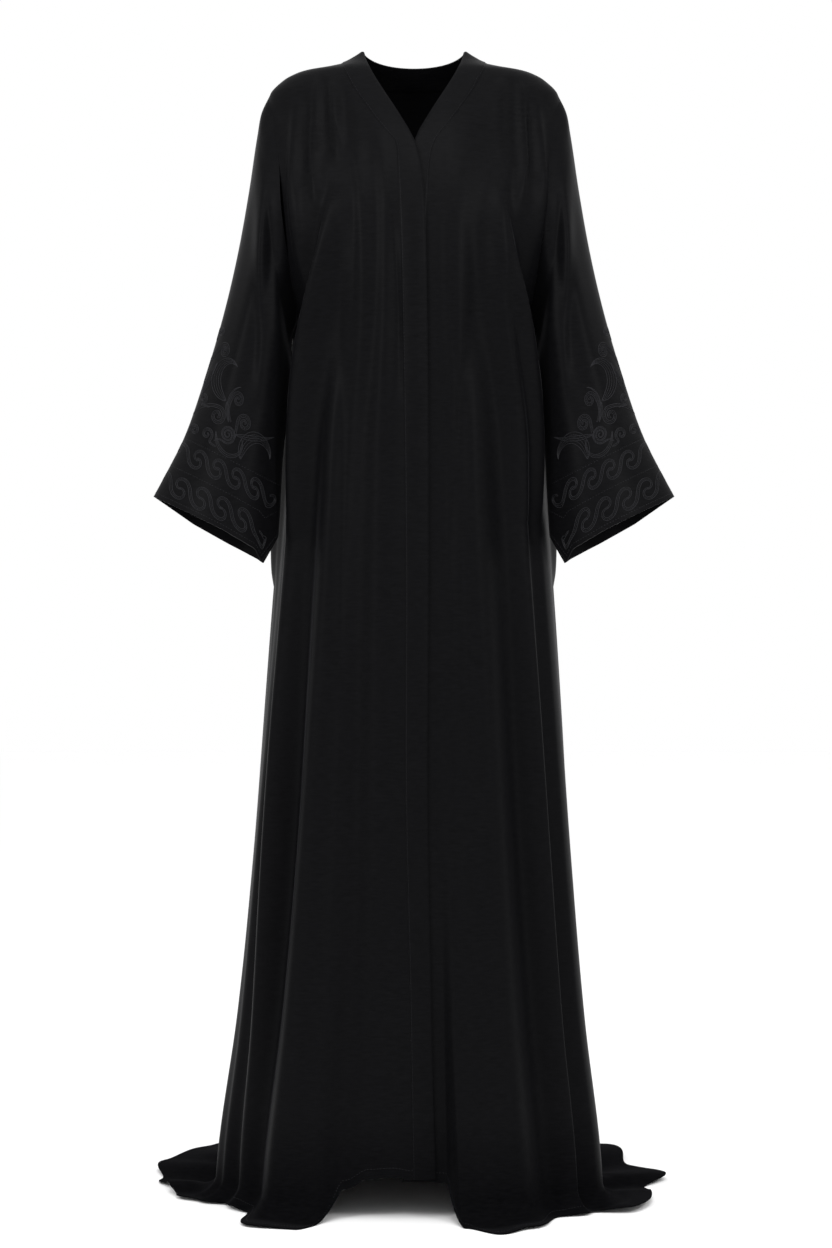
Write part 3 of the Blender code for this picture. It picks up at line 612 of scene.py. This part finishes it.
def body_normal(fold, height, behind):
    """Unit normals of the cloth's outer face, which both pieces at a seam have in common."""
    around = body_point(fold + 0.03, height, behind) - body_point(fold - 0.03, height, behind)
    up = body_point(fold, height + 0.001, behind) - body_point(fold, height - 0.001, behind)
    return unit(np.cross(around, up))


def fold_for_across(across, height, near):
    """The fold number whose point on the front lies that far across, at each height."""
    found = []
    folds = np.linspace(near[0], near[1], 181)
    for x, z in zip(np.ravel(across), np.ravel(height)):
        xs = body_point(folds, np.full(folds.shape, z), False)[:, 0]
        found.append(np.interp(x, xs, folds))
    return np.array(found).reshape(np.shape(across))


def fold_for_angle(angle, height):
    """The fold number at that angle round the back, at each height."""
    angle, height = np.broadcast_arrays(np.asarray(angle, float), np.asarray(height, float))
    knots = np.arange(SIDE_LEFT_FOLD, SIDE_RIGHT_FOLD + 1)
    angles = fold_angle(knots.astype(float), height[..., None])
    first = np.clip((angles <= angle[..., None]).sum(axis=-1) - 1, 0, len(knots) - 2)
    low = np.take_along_axis(angles, first[..., None], -1)[..., 0]
    high = np.take_along_axis(angles, first[..., None] + 1, -1)[..., 0]
    return knots[0] + first + np.clip((angle - low) / (high - low), 0, 1)


def underlap(points):
    """How far the left front and its band move back, to pass under the right band."""
    share = ease(1 - points[..., 0] / UNDERLAP_REACH)
    share = share * ease((NECK_HEIGHT - 0.045 - points[..., 2]) / 0.06)
    move = np.zeros_like(points)
    move[..., 1] = UNDERLAP * share
    return move


def chest_rows():
    """Row positions from the armpit, 0, to the shoulder, 1, close together at both ends."""
    return (1 - np.cos(np.linspace(0, math.pi, CHEST_ROWS + 1))) / 2


def body_rows():
    """Row positions: 0 to 1 on the floor part, 1 to 2 up the skirt and 2 to 3 to the top."""
    floor = np.linspace(0, 1, FLOOR_ROWS + 1)[:-1]
    skirt = np.linspace(1, 2, SKIRT_ROWS + 1)[:-1]
    return np.concatenate([floor, skirt, 2 + chest_rows()])


def row_height(row, hem, top):
    """Height along the cloth of a row position, for a column with that hem and top."""
    floor = hem + (FLOOR_TOP - hem) * np.clip(row, 0, 1)
    skirt = (ARMPIT - FLOOR_TOP) * np.clip(row - 1, 0, 1)
    chest = (top - ARMPIT) * np.clip(row - 2, 0, 1)
    return floor + skirt + chest


def shoulder_height(across):
    """Height of the shoulder seam above a distance from the neck's middle."""
    rows = np.asarray(BODY_SECTIONS)
    seam = rows[rows[:, 0] >= SHOULDER_POINT]
    return np.interp(across, seam[::-1, 1], seam[::-1, 0])


def front_near(side):
    """The folds that a front may lie on, in rising order."""
    if side > 0:
        return -2.5, SIDE_LEFT_FOLD
    return SIDE_RIGHT_FOLD, len(FOLDS) + 2.5


def front_edge(side, row):
    """Fold number and height of a front's seam to its band, in one row."""
    name = "left_seam" if side > 0 else "right_seam"
    middle = 0 if side > 0 else len(FOLDS)
    hem = fold_at(middle + 0.4 * side, 0.0)[3]
    height = row_height(row, hem, NECK_CORNER)
    if height <= V_POINT:
        across = placket(name, height)
    else:
        across = side * neck_run("seam_across", neck_along(height))
    return fold_for_across(across, height, front_near(side)), height


def front_places(side):
    """Fold numbers and heights of a front: side is 1 for the left front, -1 for the right."""
    last = SIDE_LEFT_FOLD if side > 0 else SIDE_RIGHT_FOLD
    share = np.linspace(0, 1, FRONT_STEPS + 1)
    corner = neck_run("seam_across", 1.0)
    top = shoulder_height(corner + (SHOULDER_ACROSS - corner) * share)
    folds, heights = [], []
    for row in body_rows():
        inner, inner_height = front_edge(side, row)
        columns = inner + (last - inner) * share
        height = row_height(row, fold_at(columns, 0.0)[3], top)
        height[0] = inner_height
        folds.append(columns)
        heights.append(height)
    return np.array(folds), np.array(heights)


def back_places():
    """Fold numbers and heights of the back, from the left side seam round to the right one."""
    across = np.linspace(SIDE_LEFT_FOLD, SIDE_RIGHT_FOLD, back_steps() + 1)
    step = np.arange(back_steps() + 1)
    neck_steps = back_steps() - 2 * SHOULDER_STEPS
    on_neck = np.clip((step - SHOULDER_STEPS) / neck_steps, 0, 1)
    on_shoulder = np.clip(np.minimum(step, back_steps() - step) / SHOULDER_STEPS, 0, 1)
    corner = neck_run("seam_across", 1.0)
    seam_across = SHOULDER_ACROSS * (1 - on_shoulder) + corner * on_shoulder
    seam = shoulder_height(seam_across)
    top = seam - (NECK_CORNER - BACK_NECK_SEAM) * np.sin(math.pi * on_neck) ** 2
    neck_turn = np.abs(90.0 - 180.0 * on_neck)
    top_side = body_size("side", top)
    on_top = top_side * np.sin(np.radians(neck_turn))
    left = step <= back_steps() // 2
    folds, heights = [], []
    for row in body_rows():
        near_top = np.clip(row - 2, 0, 1) ** 2
        height = row_height(row, fold_at(across, 0.0)[3], top)
        angle = fold_at(across, height)[0]
        side = body_size("side", height)
        cut = armhole_swell(height, True) / body_size("back", height)
        narrowed = np.where(height < SHOULDER_POINT, side / SHOULDER_ACROSS, 1.0)
        share = on_top * narrowed * np.sqrt(1 - cut**2) / side
        turn = np.degrees(np.arcsin(np.minimum(share, 1))) * (math.pi / 2) / np.arccos(cut)
        turn = (np.minimum(turn, 90.0) + neck_turn) / 2
        under_top = np.where(left, 180.0 - turn, 180.0 + turn)
        angle = angle + (under_top - angle) * near_top
        folds.append(fold_for_angle(angle, height))
        heights.append(height)
    return np.array(folds), np.array(heights)


def back_steps():
    """Steps across the back, an even number so that one column is its middle."""
    steps = STEPS_PER_FOLD * (SIDE_RIGHT_FOLD - SIDE_LEFT_FOLD)
    return steps + steps % 2


def band_front_places(side):
    """Fold numbers and heights of a band up the front, with the front's own rows at the seam."""
    edge_name = "left_edge" if side > 0 else "right_edge"
    shares = band_shares()
    folds, heights = [], []
    for row in body_rows():
        seam_fold, seam_height = front_edge(side, row)
        if seam_height <= PLACKET[-1][0]:
            edge_height = seam_height
            edge = placket(edge_name, seam_height)
        else:
            along = neck_along(seam_height)
            edge_height = neck_run("edge_height", along)
            edge = side * neck_run("edge_across", along)
        edge_fold = fold_for_across(edge, edge_height, front_near(side))
        folds.append(seam_fold + (edge_fold - seam_fold) * shares)
        heights.append(seam_height + (edge_height - seam_height) * shares)
    return np.array(folds), np.array(heights)


def band_back_places(side):
    """Fold numbers and heights of a band round the back of the neck, as far as its middle."""
    neck_steps = back_steps() // 2 - SHOULDER_STEPS
    shares = band_shares()
    folds, heights = [], []
    for along in np.linspace(0, 1, neck_steps + 1)[1:]:
        drop = math.sin(math.pi / 2 * along) ** 2
        seam = NECK_CORNER - (NECK_CORNER - BACK_NECK_SEAM) * drop
        edge = NECK_HEIGHT - (NECK_HEIGHT - BACK_NECK_EDGE) * drop
        height = seam + (edge - seam) * shares
        angle = 180 - side * 90 * (1 - along) + 0 * shares
        folds.append(fold_for_angle(angle, height))
        heights.append(height)
    return np.array(folds), np.array(heights)


def hem_bow(across, layer):
    """How far the cuff's hem hangs below the line between its two edge folds, in metres."""
    rows = np.asarray(HEM_BOW, float)
    return np.interp(across, rows[:, 0], rows[:, HEM_BOW_COLUMNS.index(layer)]) / 1000


def sleeve_folds(table, across, along):
    """Depth in metres that the soft folds add, by position across and along the sleeve."""
    total = 0.0
    for start, end, width, armhole, elbow, cuff in table:
        middle = start + (end - start) * along
        size = curve_through(SLEEVE_FOLD_PLACES, (0.0, armhole, elbow, cuff), along)
        total = total + size / 1000 * np.exp(-(((across - middle) / width) ** 2))
    return total * lens(across, 0.5)


def sleeve_points(side, along):
    """Outer points of a sleeve: rows run from the armhole to the cuff, columns round it.

    The columns start at the top fold and come back to it behind, with the armhole's points.
    """
    along = np.asarray(along, float)[:, None]
    down = 1 - chest_rows()[::-1]
    across = np.concatenate([down, down[-2:0:-1]])[None, :]
    behind = np.arange(across.shape[1])[None, :] > CHEST_ROWS

    def section(name):
        return read(SLEEVE_SECTIONS, SLEEVE_COLUMNS, name, along)

    top = np.stack([section("top_across"), 0 * along, section("top_height")], axis=-1)
    under = np.stack([section("under_across"), 0 * along, section("under_height")], axis=-1)
    points = top + (under - top) * across[..., None]
    roundness = curve_through(
        (0.0, 0.15, 0.50, 1.0),
        (ARMHOLE_ROUNDNESS, ARM_ROUNDNESS, ARM_ROUNDNESS, CUFF_ROUNDNESS),
        along,
    )
    body = lens(across, roundness)
    skewed = lens(across ** (1 + FRONT_SKEW * ease((along - 0.15) / 0.6)), roundness)
    front = section("front_swell") * skewed + sleeve_folds(SLEEVE_FRONT_FOLDS, across, along)
    back = section("back_swell") * body + sleeve_folds(SLEEVE_BACK_FOLDS, across, along)
    points[..., 1] = np.where(behind, back, -front) - section("forward")
    bow = np.clip((along - CUFF_SEAM) / (1 - CUFF_SEAM), 0, 1)
    points[..., 2] -= bow * np.where(behind, hem_bow(across, "back"), hem_bow(across, "front"))
    heights = SHOULDER_POINT + (ARMPIT - SHOULDER_POINT) * across[0]
    fold = SIDE_LEFT_FOLD + 0 * heights
    armhole = np.where(
        behind[0][:, None],
        body_point(fold, heights, True),
        body_point(fold, heights, False),
    )
    swell = np.where(behind[0], first_section("back_swell"), -first_section("front_swell"))
    first = np.stack([
        SHOULDER_ACROSS + (first_section("under_across") - SHOULDER_ACROSS) * across[0],
        swell * lens(across[0], ARMHOLE_ROUNDNESS),
        heights,
    ], axis=-1)
    away = ease(along / ARMHOLE_REACH)
    points += (armhole - first) * (1 - away)[..., None]
    seen_across, seen_height = seen_from_front(points * (side, 1, 1))
    more = crease_depth(FRONT_CREASES, seen_across, seen_height)
    behind_more = crease_depth(BACK_CREASES, seen_across, seen_height)
    points[..., 1] += np.where(behind, behind_more, -more) * lens(across, 0.5) * away
    points[..., 0] *= side
    return points


def grid_normals(points):
    """Unit normals of a tube's points, whose columns run round it."""
    around = np.roll(points, -1, axis=1) - np.roll(points, 1, axis=1)
    return unit(np.cross(around, np.gradient(points, axis=0)))


def drawn_in(points, first_row=0.0, last_row=0.0, first_column=0.0, last_column=0.0):
    """How far each point moves, to draw the edges in and leave the gaps at the seams."""
    move = np.zeros_like(points)
    gaps = ((first_row, last_row), (first_column, last_column))
    for (first, last), grid, moved in zip(
        gaps, (points, points.swapaxes(0, 1)), (move, move.swapaxes(0, 1))
    ):
        for edge, gap in ((0, first), (-1, last)):
            step = grid[1 if edge == 0 else -2] - grid[edge]
            length = np.linalg.norm(step, axis=-1, keepdims=True)
            moved[edge] += step / np.maximum(length, 1e-9) * gap
    return move


def lowered(points):
    """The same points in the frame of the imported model."""
    return np.asarray(points, float) - np.array([0.0, 0.0, NECK_HEIGHT])


def quads(rows, columns, closed, first=0, flip=False):
    """Faces of a grid of points, numbered row by row from first."""
    r = np.arange(rows - 1)[:, None]
    c = np.arange(columns if closed else columns - 1)[None, :]
    d = (c + 1) % columns
    corners = (r * columns + c, r * columns + d, (r + 1) * columns + d, (r + 1) * columns + c)
    faces = np.stack(corners, axis=-1).reshape(-1, 4) + first
    return faces[:, ::-1] if flip else faces


def rim(outer_ring, inner_ring, closed, flip=False):
    """Faces between two rows of point numbers."""
    a, b = np.asarray(outer_ring), np.asarray(inner_ring)
    if closed:
        a, b = np.append(a, a[0]), np.append(b, b[0])
    faces = np.stack([a[:-1], b[:-1], b[1:], a[1:]], axis=-1)
    return faces[:, ::-1] if flip else faces


def mesh_object(name, points, faces, material):
    """A smooth-shaded mesh object that rides on the body, with the given material in its slot."""
    data = bpy.data.meshes.new(name)
    data.vertices.add(len(points))
    data.vertices.foreach_set("co", np.asarray(points, np.float32).ravel())
    data.loops.add(faces.size)
    data.loops.foreach_set("vertex_index", faces.astype(np.int32).ravel())
    data.polygons.add(len(faces))
    starts = np.arange(0, faces.size, faces.shape[1])
    data.polygons.foreach_set("loop_start", starts.astype(np.int32))
    data.update(calc_edges=True)
    data.validate()
    data.shade_smooth()
    data.set_sharp_from_angle(angle=math.radians(SMOOTH_ANGLE))
    data.materials.append(material)
    thing = bpy.data.objects.new(name, data)
    bpy.context.scene.collection.objects.link(thing)
    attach(thing, "root")
    return thing


def wall_object(name, outer, inner, material, closed=False):
    """A thin wall between a grid of outer points and the same grid of inner points."""
    rows, columns = outer.shape[:2]
    count = rows * columns
    points = np.concatenate([lowered(outer).reshape(-1, 3), lowered(inner).reshape(-1, 3)])
    index = np.arange(count).reshape(rows, columns)
    parts = [quads(rows, columns, closed), quads(rows, columns, closed, count, flip=True)]
    parts.append(rim(index[0], index[0] + count, closed))
    parts.append(rim(index[-1], index[-1] + count, closed, flip=True))
    if not closed:
        parts.append(rim(index[:, 0], index[:, 0] + count, False, flip=True))
        parts.append(rim(index[:, -1], index[:, -1] + count, False))
    return mesh_object(name, points, np.concatenate(parts), material)


def shader_of(name, values):
    """A new material, its node tree and its shader, with the shader's own values set."""
    material = bpy.data.materials.new(name)
    material.use_nodes = True
    shader = material.node_tree.nodes["Principled BSDF"]
    for socket, value in values.items():
        shader.inputs[socket].default_value = value
    return material, material.node_tree, shader


def link_to(tree, node, links):
    """Links to a node's sockets the output that is named for each."""
    for socket, output in links.items():
        tree.links.new(output, node.inputs[socket])


def add_node(tree, kind, values, links):
    """A new node with its values set and its sockets linked. Returns its main output."""
    node = tree.nodes.new("ShaderNode" + kind)
    for socket, value in values.items():
        node.inputs[socket].default_value = value
    link_to(tree, node, links)
    return node.outputs[0]


def noise(tree, place, scale, detail):
    """A noise that shades or roughens the surface."""
    return add_node(tree, "TexNoise", {"Scale": scale, "Detail": detail}, {"Vector": place})


def shade(tree, source, start, end, shades):
    """A ramp from the dark to the light shade."""
    colour = add_node(tree, "ValToRGB", {}, {"Fac": source})
    for stop, position, tone in zip(colour.node.color_ramp.elements, (start, end), shades):
        stop.position = position
        stop.color = (*tone, 1.0)
    return colour


def crepe():
    """Black crepe: dark dyed threads, a pebbled, slightly slubbed surface and a dull bloom.

    The hem that lies on the floor is duller than the cloth that hangs.
    """
    material, tree, shader = shader_of("black_crepe", {
        "Roughness": 0.44,
        "Sheen Weight": 0.03,
        "Sheen Roughness": 0.30,
        "Sheen Tint": (0.8, 0.8, 0.86, 1.0),
    })
    place = tree.nodes.new("ShaderNodeTexCoord").outputs["Object"]
    slub_place = add_node(tree, "Mapping", {"Scale": (90.0, 90.0, 620.0)}, {"Vector": place})
    slub = noise(tree, slub_place, 1.0, 3.0)
    pebble = noise(tree, place, 1500.0, 2.0)
    both = add_node(tree, "Math", {}, {0: slub, 1: pebble})
    both.node.operation = "ADD"
    split = add_node(tree, "SeparateXYZ", {}, {"Vector": place})
    low, high = DULL_BELOW
    limits = {"From Min": low, "From Max": high, "To Min": 0.0, "To Max": CREPE_GLOSS}
    link_to(tree, shader, {
        "Base Color": shade(tree, slub, 0.30, 0.75, CREPE_SHADES),
        "Normal": add_node(tree, "Bump", {"Strength": 0.25, "Distance": 0.0004}, {"Height": both}),
        "Specular IOR Level": add_node(
            tree, "MapRange", limits, {"Value": split.node.outputs["Z"]}
        ),
    })
    return material


def floss(name, shades):
    """Grey embroidery or sewing thread, twisted, with a dull silky sheen."""
    material, tree, shader = shader_of(name, {"Roughness": 0.50, "Specular IOR Level": 0.08})
    place = tree.nodes.new("ShaderNodeTexCoord").outputs["Object"]
    twist = noise(tree, place, 900.0, 2.0)
    link_to(tree, shader, {
        "Base Color": shade(tree, twist, 0.30, 0.70, shades),
        "Normal": add_node(tree, "Bump", {"Strength": 0.4, "Distance": 0.0002}, {"Height": twist}),
    })
    return material


def cloth_piece(kind, hand, outer, inner, cloth, closed=False):
    """One piece of cloth as a thin wall that stands for its node, whose solid it hides."""
    node = f"{kind}_{hand}" if hand else kind
    thing = wall_object(node + "_cloth", outer, inner, cloth, closed)
    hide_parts(node)


def panel_walls(places, behind):
    """Outer and inner points of a front or back, drawn in at its seams."""
    half = SEAM_GAP / 2
    outer = body_point(*places, behind)
    inner = outer - CLOTH * body_normal(*places, behind)
    move = drawn_in(outer, last_row=half, first_column=half, last_column=half)
    return outer, inner, move


def make_fronts(cloth):
    """The two fronts, from the band's seam to the side seam, armhole and shoulder seam."""
    for hand, side in HANDS:
        outer, inner, move = panel_walls(front_places(side), False)
        if side > 0:
            move = move + underlap(outer)
        outer, inner = outer + move, inner + move
        cloth_piece("front", hand, outer[:, ::side], inner[:, ::side], cloth)


def make_back(cloth):
    """The back, from side seam to side seam, with the longest part of the hem."""
    outer, inner, move = panel_walls(back_places(), True)
    cloth_piece("back", "", outer + move, inner + move, cloth)


def make_bands(cloth, thread):
    """The bands that edge the neck and both fronts. The right one laps over the left one."""
    half = SEAM_GAP / 2
    lines = []
    for hand, side in HANDS:
        outer, inner = [], []
        for places, behind in ((band_front_places(side), False), (band_back_places(side), True)):
            points = body_point(*places, behind)
            normal = body_normal(*places, behind)
            outer.append(points + band_lift()[None, :, None] * normal)
            inner.append(points - BAND_CLOTH * normal)
        outer, inner = np.concatenate(outer), np.concatenate(inner)
        move = drawn_in(outer, last_row=-half, first_column=half)
        if side > 0:
            move = move + underlap(outer)
        outer, inner = outer + move, inner + move
        cloth_piece("front_band", hand, outer[:, ::-side], inner[:, ::-side], cloth)
        lines.append(band_line(outer, side))
    stitched("band_topstitching", lines, thread)


def make_sleeves(cloth):
    """Sleeves from the armhole to the cuff's seam, and the cuffs beyond it."""
    gap = SEAM_GAP / SLEEVE_LENGTH
    for hand, side in HANDS:
        sleeve = np.linspace(0, CUFF_SEAM - gap / 2, SLEEVE_ROWS + 1)
        sleeve[0] = gap / 2
        cuff = np.linspace(CUFF_SEAM + gap / 2, 1.0, CUFF_ROWS + 1)
        for kind, along in (("sleeve", sleeve), ("cuff", cuff)):
            outer = sleeve_points(side, along)
            inner = outer - CLOTH * side * grid_normals(outer)
            order = slice(None, None, -side)
            outer, inner = outer[::-1, order], inner[::-1, order]
            cloth_piece(kind, hand, outer, inner, cloth, closed=True)


def band_line(outer, side):
    """The topstitching's line along a band, just inside its seam, with its normals."""
    shares = band_shares()
    column = np.interp(BAND_STITCH_SHARE, shares, np.arange(len(shares)))
    first = int(column)
    points = outer[:, first] + (outer[:, first + 1] - outer[:, first]) * (column - first)
    normals = np.cross(outer[:, first + 1] - outer[:, first], np.gradient(points, axis=0))
    return points, side * unit(normals)


def hem_lines():
    """The hem's topstitching on both fronts, a little above the hem."""
    lines = []
    for _, side in HANDS:
        fold, height = front_places(side)
        share = np.linspace(0, HEM_STITCHED, HEM_STITCH_POINTS)
        columns = np.interp(share, np.linspace(0, 1, fold.shape[1]), fold[0])
        up = np.interp(share, np.linspace(0, 1, fold.shape[1]), height[0]) + HEM_STITCH_UP
        normals = body_normal(columns, up, False)
        points = body_point(columns, up, False)
        if side > 0:
            points = points + underlap(points)
        lines.append((points, normals))
    return lines


def evened(points, normals, step):
    """The same line with its points a step apart, and the distance run at each of them."""
    run = np.concatenate([[0], np.cumsum(np.linalg.norm(np.diff(points, axis=0), axis=-1))])
    count = max(int(run[-1] / step), 2)
    at = np.linspace(0, run[-1], count + 1)
    points = np.stack([np.interp(at, run, points[:, k]) for k in range(3)], axis=-1)
    normals = np.stack([np.interp(at, run, normals[:, k]) for k in range(3)], axis=-1)
    return points, unit(normals), at


def thread_rings(points, normals, radius):
    """Four corners round each point of a thread that lies on the cloth."""
    ahead = unit(np.gradient(points, axis=0))
    sideways = unit(np.cross(ahead, normals))
    radius = np.broadcast_to(radius, len(points))[:, None]
    middle = points + 0.35 * radius * normals
    corners = (sideways, normals, -sideways, -normals)
    return np.stack([middle + radius * corner for corner in corners], axis=1)


def thread_object(name, rings, material):
    """One mesh of closed four-sided threads, each given by its rings of corners."""
    points, faces, start = [], [], 0
    for ring in rings:
        count = len(ring)
        points.append(ring.reshape(-1, 3))
        faces.append(quads(count, 4, True, start))
        faces.append(start + np.array([[3, 2, 1, 0], 4 * count - 4 + np.arange(4)]))
        start += 4 * count
    mesh_object(name, lowered(np.concatenate(points)), np.concatenate(faces), material)


def stitched(name, lines, material):
    """Rows of single topstitches along lines of points and normals."""
    rings = []
    for points, normals in lines:
        points, normals, at = evened(points, normals, TOPSTITCH_LENGTH / 3)
        for number in range(int(at[-1] / TOPSTITCH_PITCH)):
            start = number * TOPSTITCH_PITCH
            inside = (at >= start) & (at <= start + TOPSTITCH_LENGTH)
            if inside.sum() >= 3:
                size = TOPSTITCH_THREAD * np.sin(np.linspace(0.5, math.pi - 0.5, inside.sum()))
                rings.append(thread_rings(points[inside], normals[inside], size))
    thread_object(name, rings, material)


def stroke(middle, half_width):
    """A doubled stroke: one closed outline on both sides of a line, and dots down it.

    Each path comes with True if it is a row of dots.
    """
    ahead = unit(np.gradient(middle, axis=0))
    off = np.stack([-ahead[:, 1], ahead[:, 0]], axis=-1) * half_width[:, None]
    outline = np.concatenate([middle + off, (middle - off)[::-1], (middle + off)[:1]])
    inner = middle[len(middle) // 8: -len(middle) // 8]
    return [(outline, False), (inner, True)]


def s_scroll(centre, height):
    """One scroll of the running border: a double spiral through its centre."""
    share = np.linspace(-1, 1, 121)
    heading = S_TURNING * np.abs(share) ** S_TIGHTENING
    line = np.cumsum(np.stack([np.cos(heading), np.sin(heading)], axis=-1), axis=0)
    line = line - line[len(line) // 2]
    c, s = math.cos(math.radians(S_TILT)), math.sin(math.radians(S_TILT))
    line = line @ np.array([[c, s], [-s, c]])
    line = line * height / np.ptp(line[:, 1]) + np.array(centre)
    return stroke(line, S_HALF_WIDTH * (1 - 0.7 * np.abs(share) ** 1.5))


def curl(across, up, radius, turns, start, stem_across, stem_up, width):
    """A vine that runs from its stem into a spiral, wound by turns, left about if positive."""
    share = np.linspace(0, 1, 90)
    angle = math.radians(start) + 2 * math.pi * turns * share
    reach = radius * (1 - 0.86 * share)
    middle = np.array([across, up])
    spiral = middle + reach[:, None] * np.stack([np.cos(angle), np.sin(angle)], axis=-1)
    way = unit(spiral[1] - spiral[0])
    stem = np.array([stem_across, stem_up])
    bend = spiral[0] - 0.6 * np.linalg.norm(spiral[0] - stem) * way
    t = np.linspace(0, 1, 30)[:-1, None]
    vine = (1 - t) ** 2 * stem + 2 * t * (1 - t) * bend + t**2 * spiral[0]
    line = np.concatenate([vine, spiral])
    place = np.linspace(0, 1, len(line))
    return stroke(line, width * (0.35 + 0.65 * np.sin(math.pi * place**0.8)))


def leaf(across, up, heading, length, bend, width, lines):
    """A curled leaf filled with rows of chain stitch."""
    share = np.linspace(0, 1, 70)
    turn = np.radians(heading + bend * share**1.4)
    step = length / 70
    line = np.cumsum(step * np.stack([np.cos(turn), np.sin(turn)], axis=-1), axis=0)
    line = line + np.array([across, up])
    off = np.stack([-np.sin(turn), np.cos(turn)], axis=-1) * width
    swell = np.sin(math.pi * share**0.75)[:, None]
    sides = np.linspace(-1, 1, lines)
    return [(line + off * swell * side, abs(side) < 0.9 and lines > 3) for side in sides]


def embroidery_paths():
    """All lines on one face of a sleeve, as millimetres across and up from the cuff's seam."""
    above, border = [], []
    for row in CURLS:
        above += curl(*row)
    for row in LEAVES:
        above += leaf(*row)
    for row in S_SCROLLS:
        border += s_scroll(*row)
    return above, border


def on_sleeve(side, behind):
    """The embroidery's lines laid on the front or back of a sleeve, with the cloth's normals."""
    along = np.linspace(*EMBROIDERED, 150)
    grid = sleeve_points(side, along)
    normals = side * grid_normals(grid)
    down = 1 - chest_rows()[::-1]
    last = grid.shape[1]
    lines = []
    above, border = embroidery_paths()
    for paths, (length, less) in ((above, SCROLL_LENGTHS), (border, BORDER_LENGTHS)):
        for path, dotted in paths:
            share = np.clip(path[:, 0] / FOLD_TO_FOLD, 0.004, 0.996)
            place = CUFF_SEAM - path[:, 1] / (length - less * share)
            column = np.interp(share, down, np.arange(len(down)))
            column = last - column if behind else column
            row = np.clip((place - along[0]) / (along[1] - along[0]), 0, len(along) - 1.001)
            r, c = row.astype(int), np.floor(column).astype(int)
            fr, fc = (row - r)[:, None], (column - c)[:, None]
            found = []
            for values in (grid, normals):
                near = values[r, c % last] * (1 - fc) + values[r, (c + 1) % last] * fc
                far = values[r + 1, c % last] * (1 - fc) + values[r + 1, (c + 1) % last] * fc
                found.append(near * (1 - fr) + far * fr)
            lines.append((found[0], found[1], dotted))
    return lines


def make_embroidery(thread):
    """Chain-stitched scrolls on the front and back of each sleeve's lower part and cuff."""
    for hand, side in HANDS:
        rings = []
        for behind in (False, True):
            for points, normals, dotted in on_sleeve(side, behind):
                points, normals, at = evened(points, normals, PATH_STEP)
                if dotted:
                    swell = 0.75 + 0.6 * np.cos(2 * math.pi * at / (DOT_PITCH / 1000))
                else:
                    swell = 1 + CHAIN_SWELL * np.cos(2 * math.pi * at / (CHAIN_STITCH / 1000))
                rings.append(thread_rings(points, normals, THREAD * swell))
        thread_object(f"embroidery_{hand}", rings, thread)


def make_cuff_stitches(thread):
    """Two lines of stitching round each cuff, one along its edge, and the fronts' hem line."""
    lines = []
    for _, side in HANDS:
        for place in CUFF_STITCH_LINES:
            near = sleeve_points(side, np.array([place - 0.002, place, place + 0.002]))
            normals = side * grid_normals(near)[1]
            closed = np.concatenate([near[1], near[1][:1]])
            lines.append((closed, np.concatenate([normals, normals[:1]])))
    stitched("cuff_topstitching", lines, thread)
    stitched("hem_topstitching", hem_lines(), thread)


def area_light(name, place, aim, size, power):
    """A soft square light that faces a point."""
    data = bpy.data.lights.new(name, "AREA")
    data.size = size
    data.energy = power
    thing = bpy.data.objects.new(name, data)
    place, aim = np.array(place), np.array(aim)
    back = unit(place - aim)
    right = unit(np.cross((0.0, 0.0, 1.0), back))
    up = np.cross(back, right)
    matrix = np.identity(4)
    matrix[:3, 0], matrix[:3, 1], matrix[:3, 2], matrix[:3, 3] = right, up, back, place
    bpy.context.scene.collection.objects.link(thing)
    thing.matrix_world = [tuple(row) for row in matrix.T]


def studio():
    """White surroundings, a white floor, soft lights and the photograph's camera."""
    scene = bpy.context.scene
    scene.view_settings.view_transform = "Standard"
    scene.world = bpy.data.worlds.new("white_studio")
    scene.world.use_nodes = True
    background = scene.world.node_tree.nodes["Background"]
    background.inputs["Color"].default_value = (1.0, 1.0, 1.0, 1.0)
    background.inputs["Strength"].default_value = 1.0
    data = bpy.data.meshes.new("floor")
    low = -NECK_HEIGHT - FLOOR_BELOW
    corners = [(x * FLOOR_SIZE, y * FLOOR_SIZE, low) for x, y in ((-1, -1), (1, -1), (1, 1), (-1, 1))]
    data.from_pydata(corners, [], [(0, 1, 2, 3)])
    floor = bpy.data.objects.new("floor", data)
    scene.collection.objects.link(floor)
    white = {"Base Color": (1.0, 1.0, 1.0, 1.0), "Roughness": 0.9, "Specular IOR Level": 0.1}
    data.materials.append(shader_of("white_floor", white)[0])
    for light in LIGHTS:
        area_light(*light)
    camera_data = bpy.data.cameras.new("camera")
    camera_data.sensor_fit = "VERTICAL"
    camera_data.sensor_height = SENSOR
    camera_data.lens = SENSOR * CAMERA_AWAY / (PHOTO_HEIGHT * PIXEL)
    camera_data.shift_x = CAMERA_SHIFT / PHOTO_HEIGHT
    camera = bpy.data.objects.new("camera", camera_data)
    camera.location = (0.0, -CAMERA_AWAY, CAMERA_LEVEL)
    camera.rotation_euler = (math.pi / 2, 0.0, 0.0)
    scene.collection.objects.link(camera)
    scene.camera = camera


def main():
    """Makes the materials, the pieces and the studio."""
    cloth = crepe()
    embroidery_thread = floss("grey_floss", FLOSS_SHADES)
    sewing_thread = floss("sewing_thread", SEWING_SHADES)
    make_fronts(cloth)
    make_back(cloth)
    make_bands(cloth, sewing_thread)
    make_sleeves(cloth)
    make_cuff_stitches(sewing_thread)
    make_embroidery(embroidery_thread)
    studio()


main()
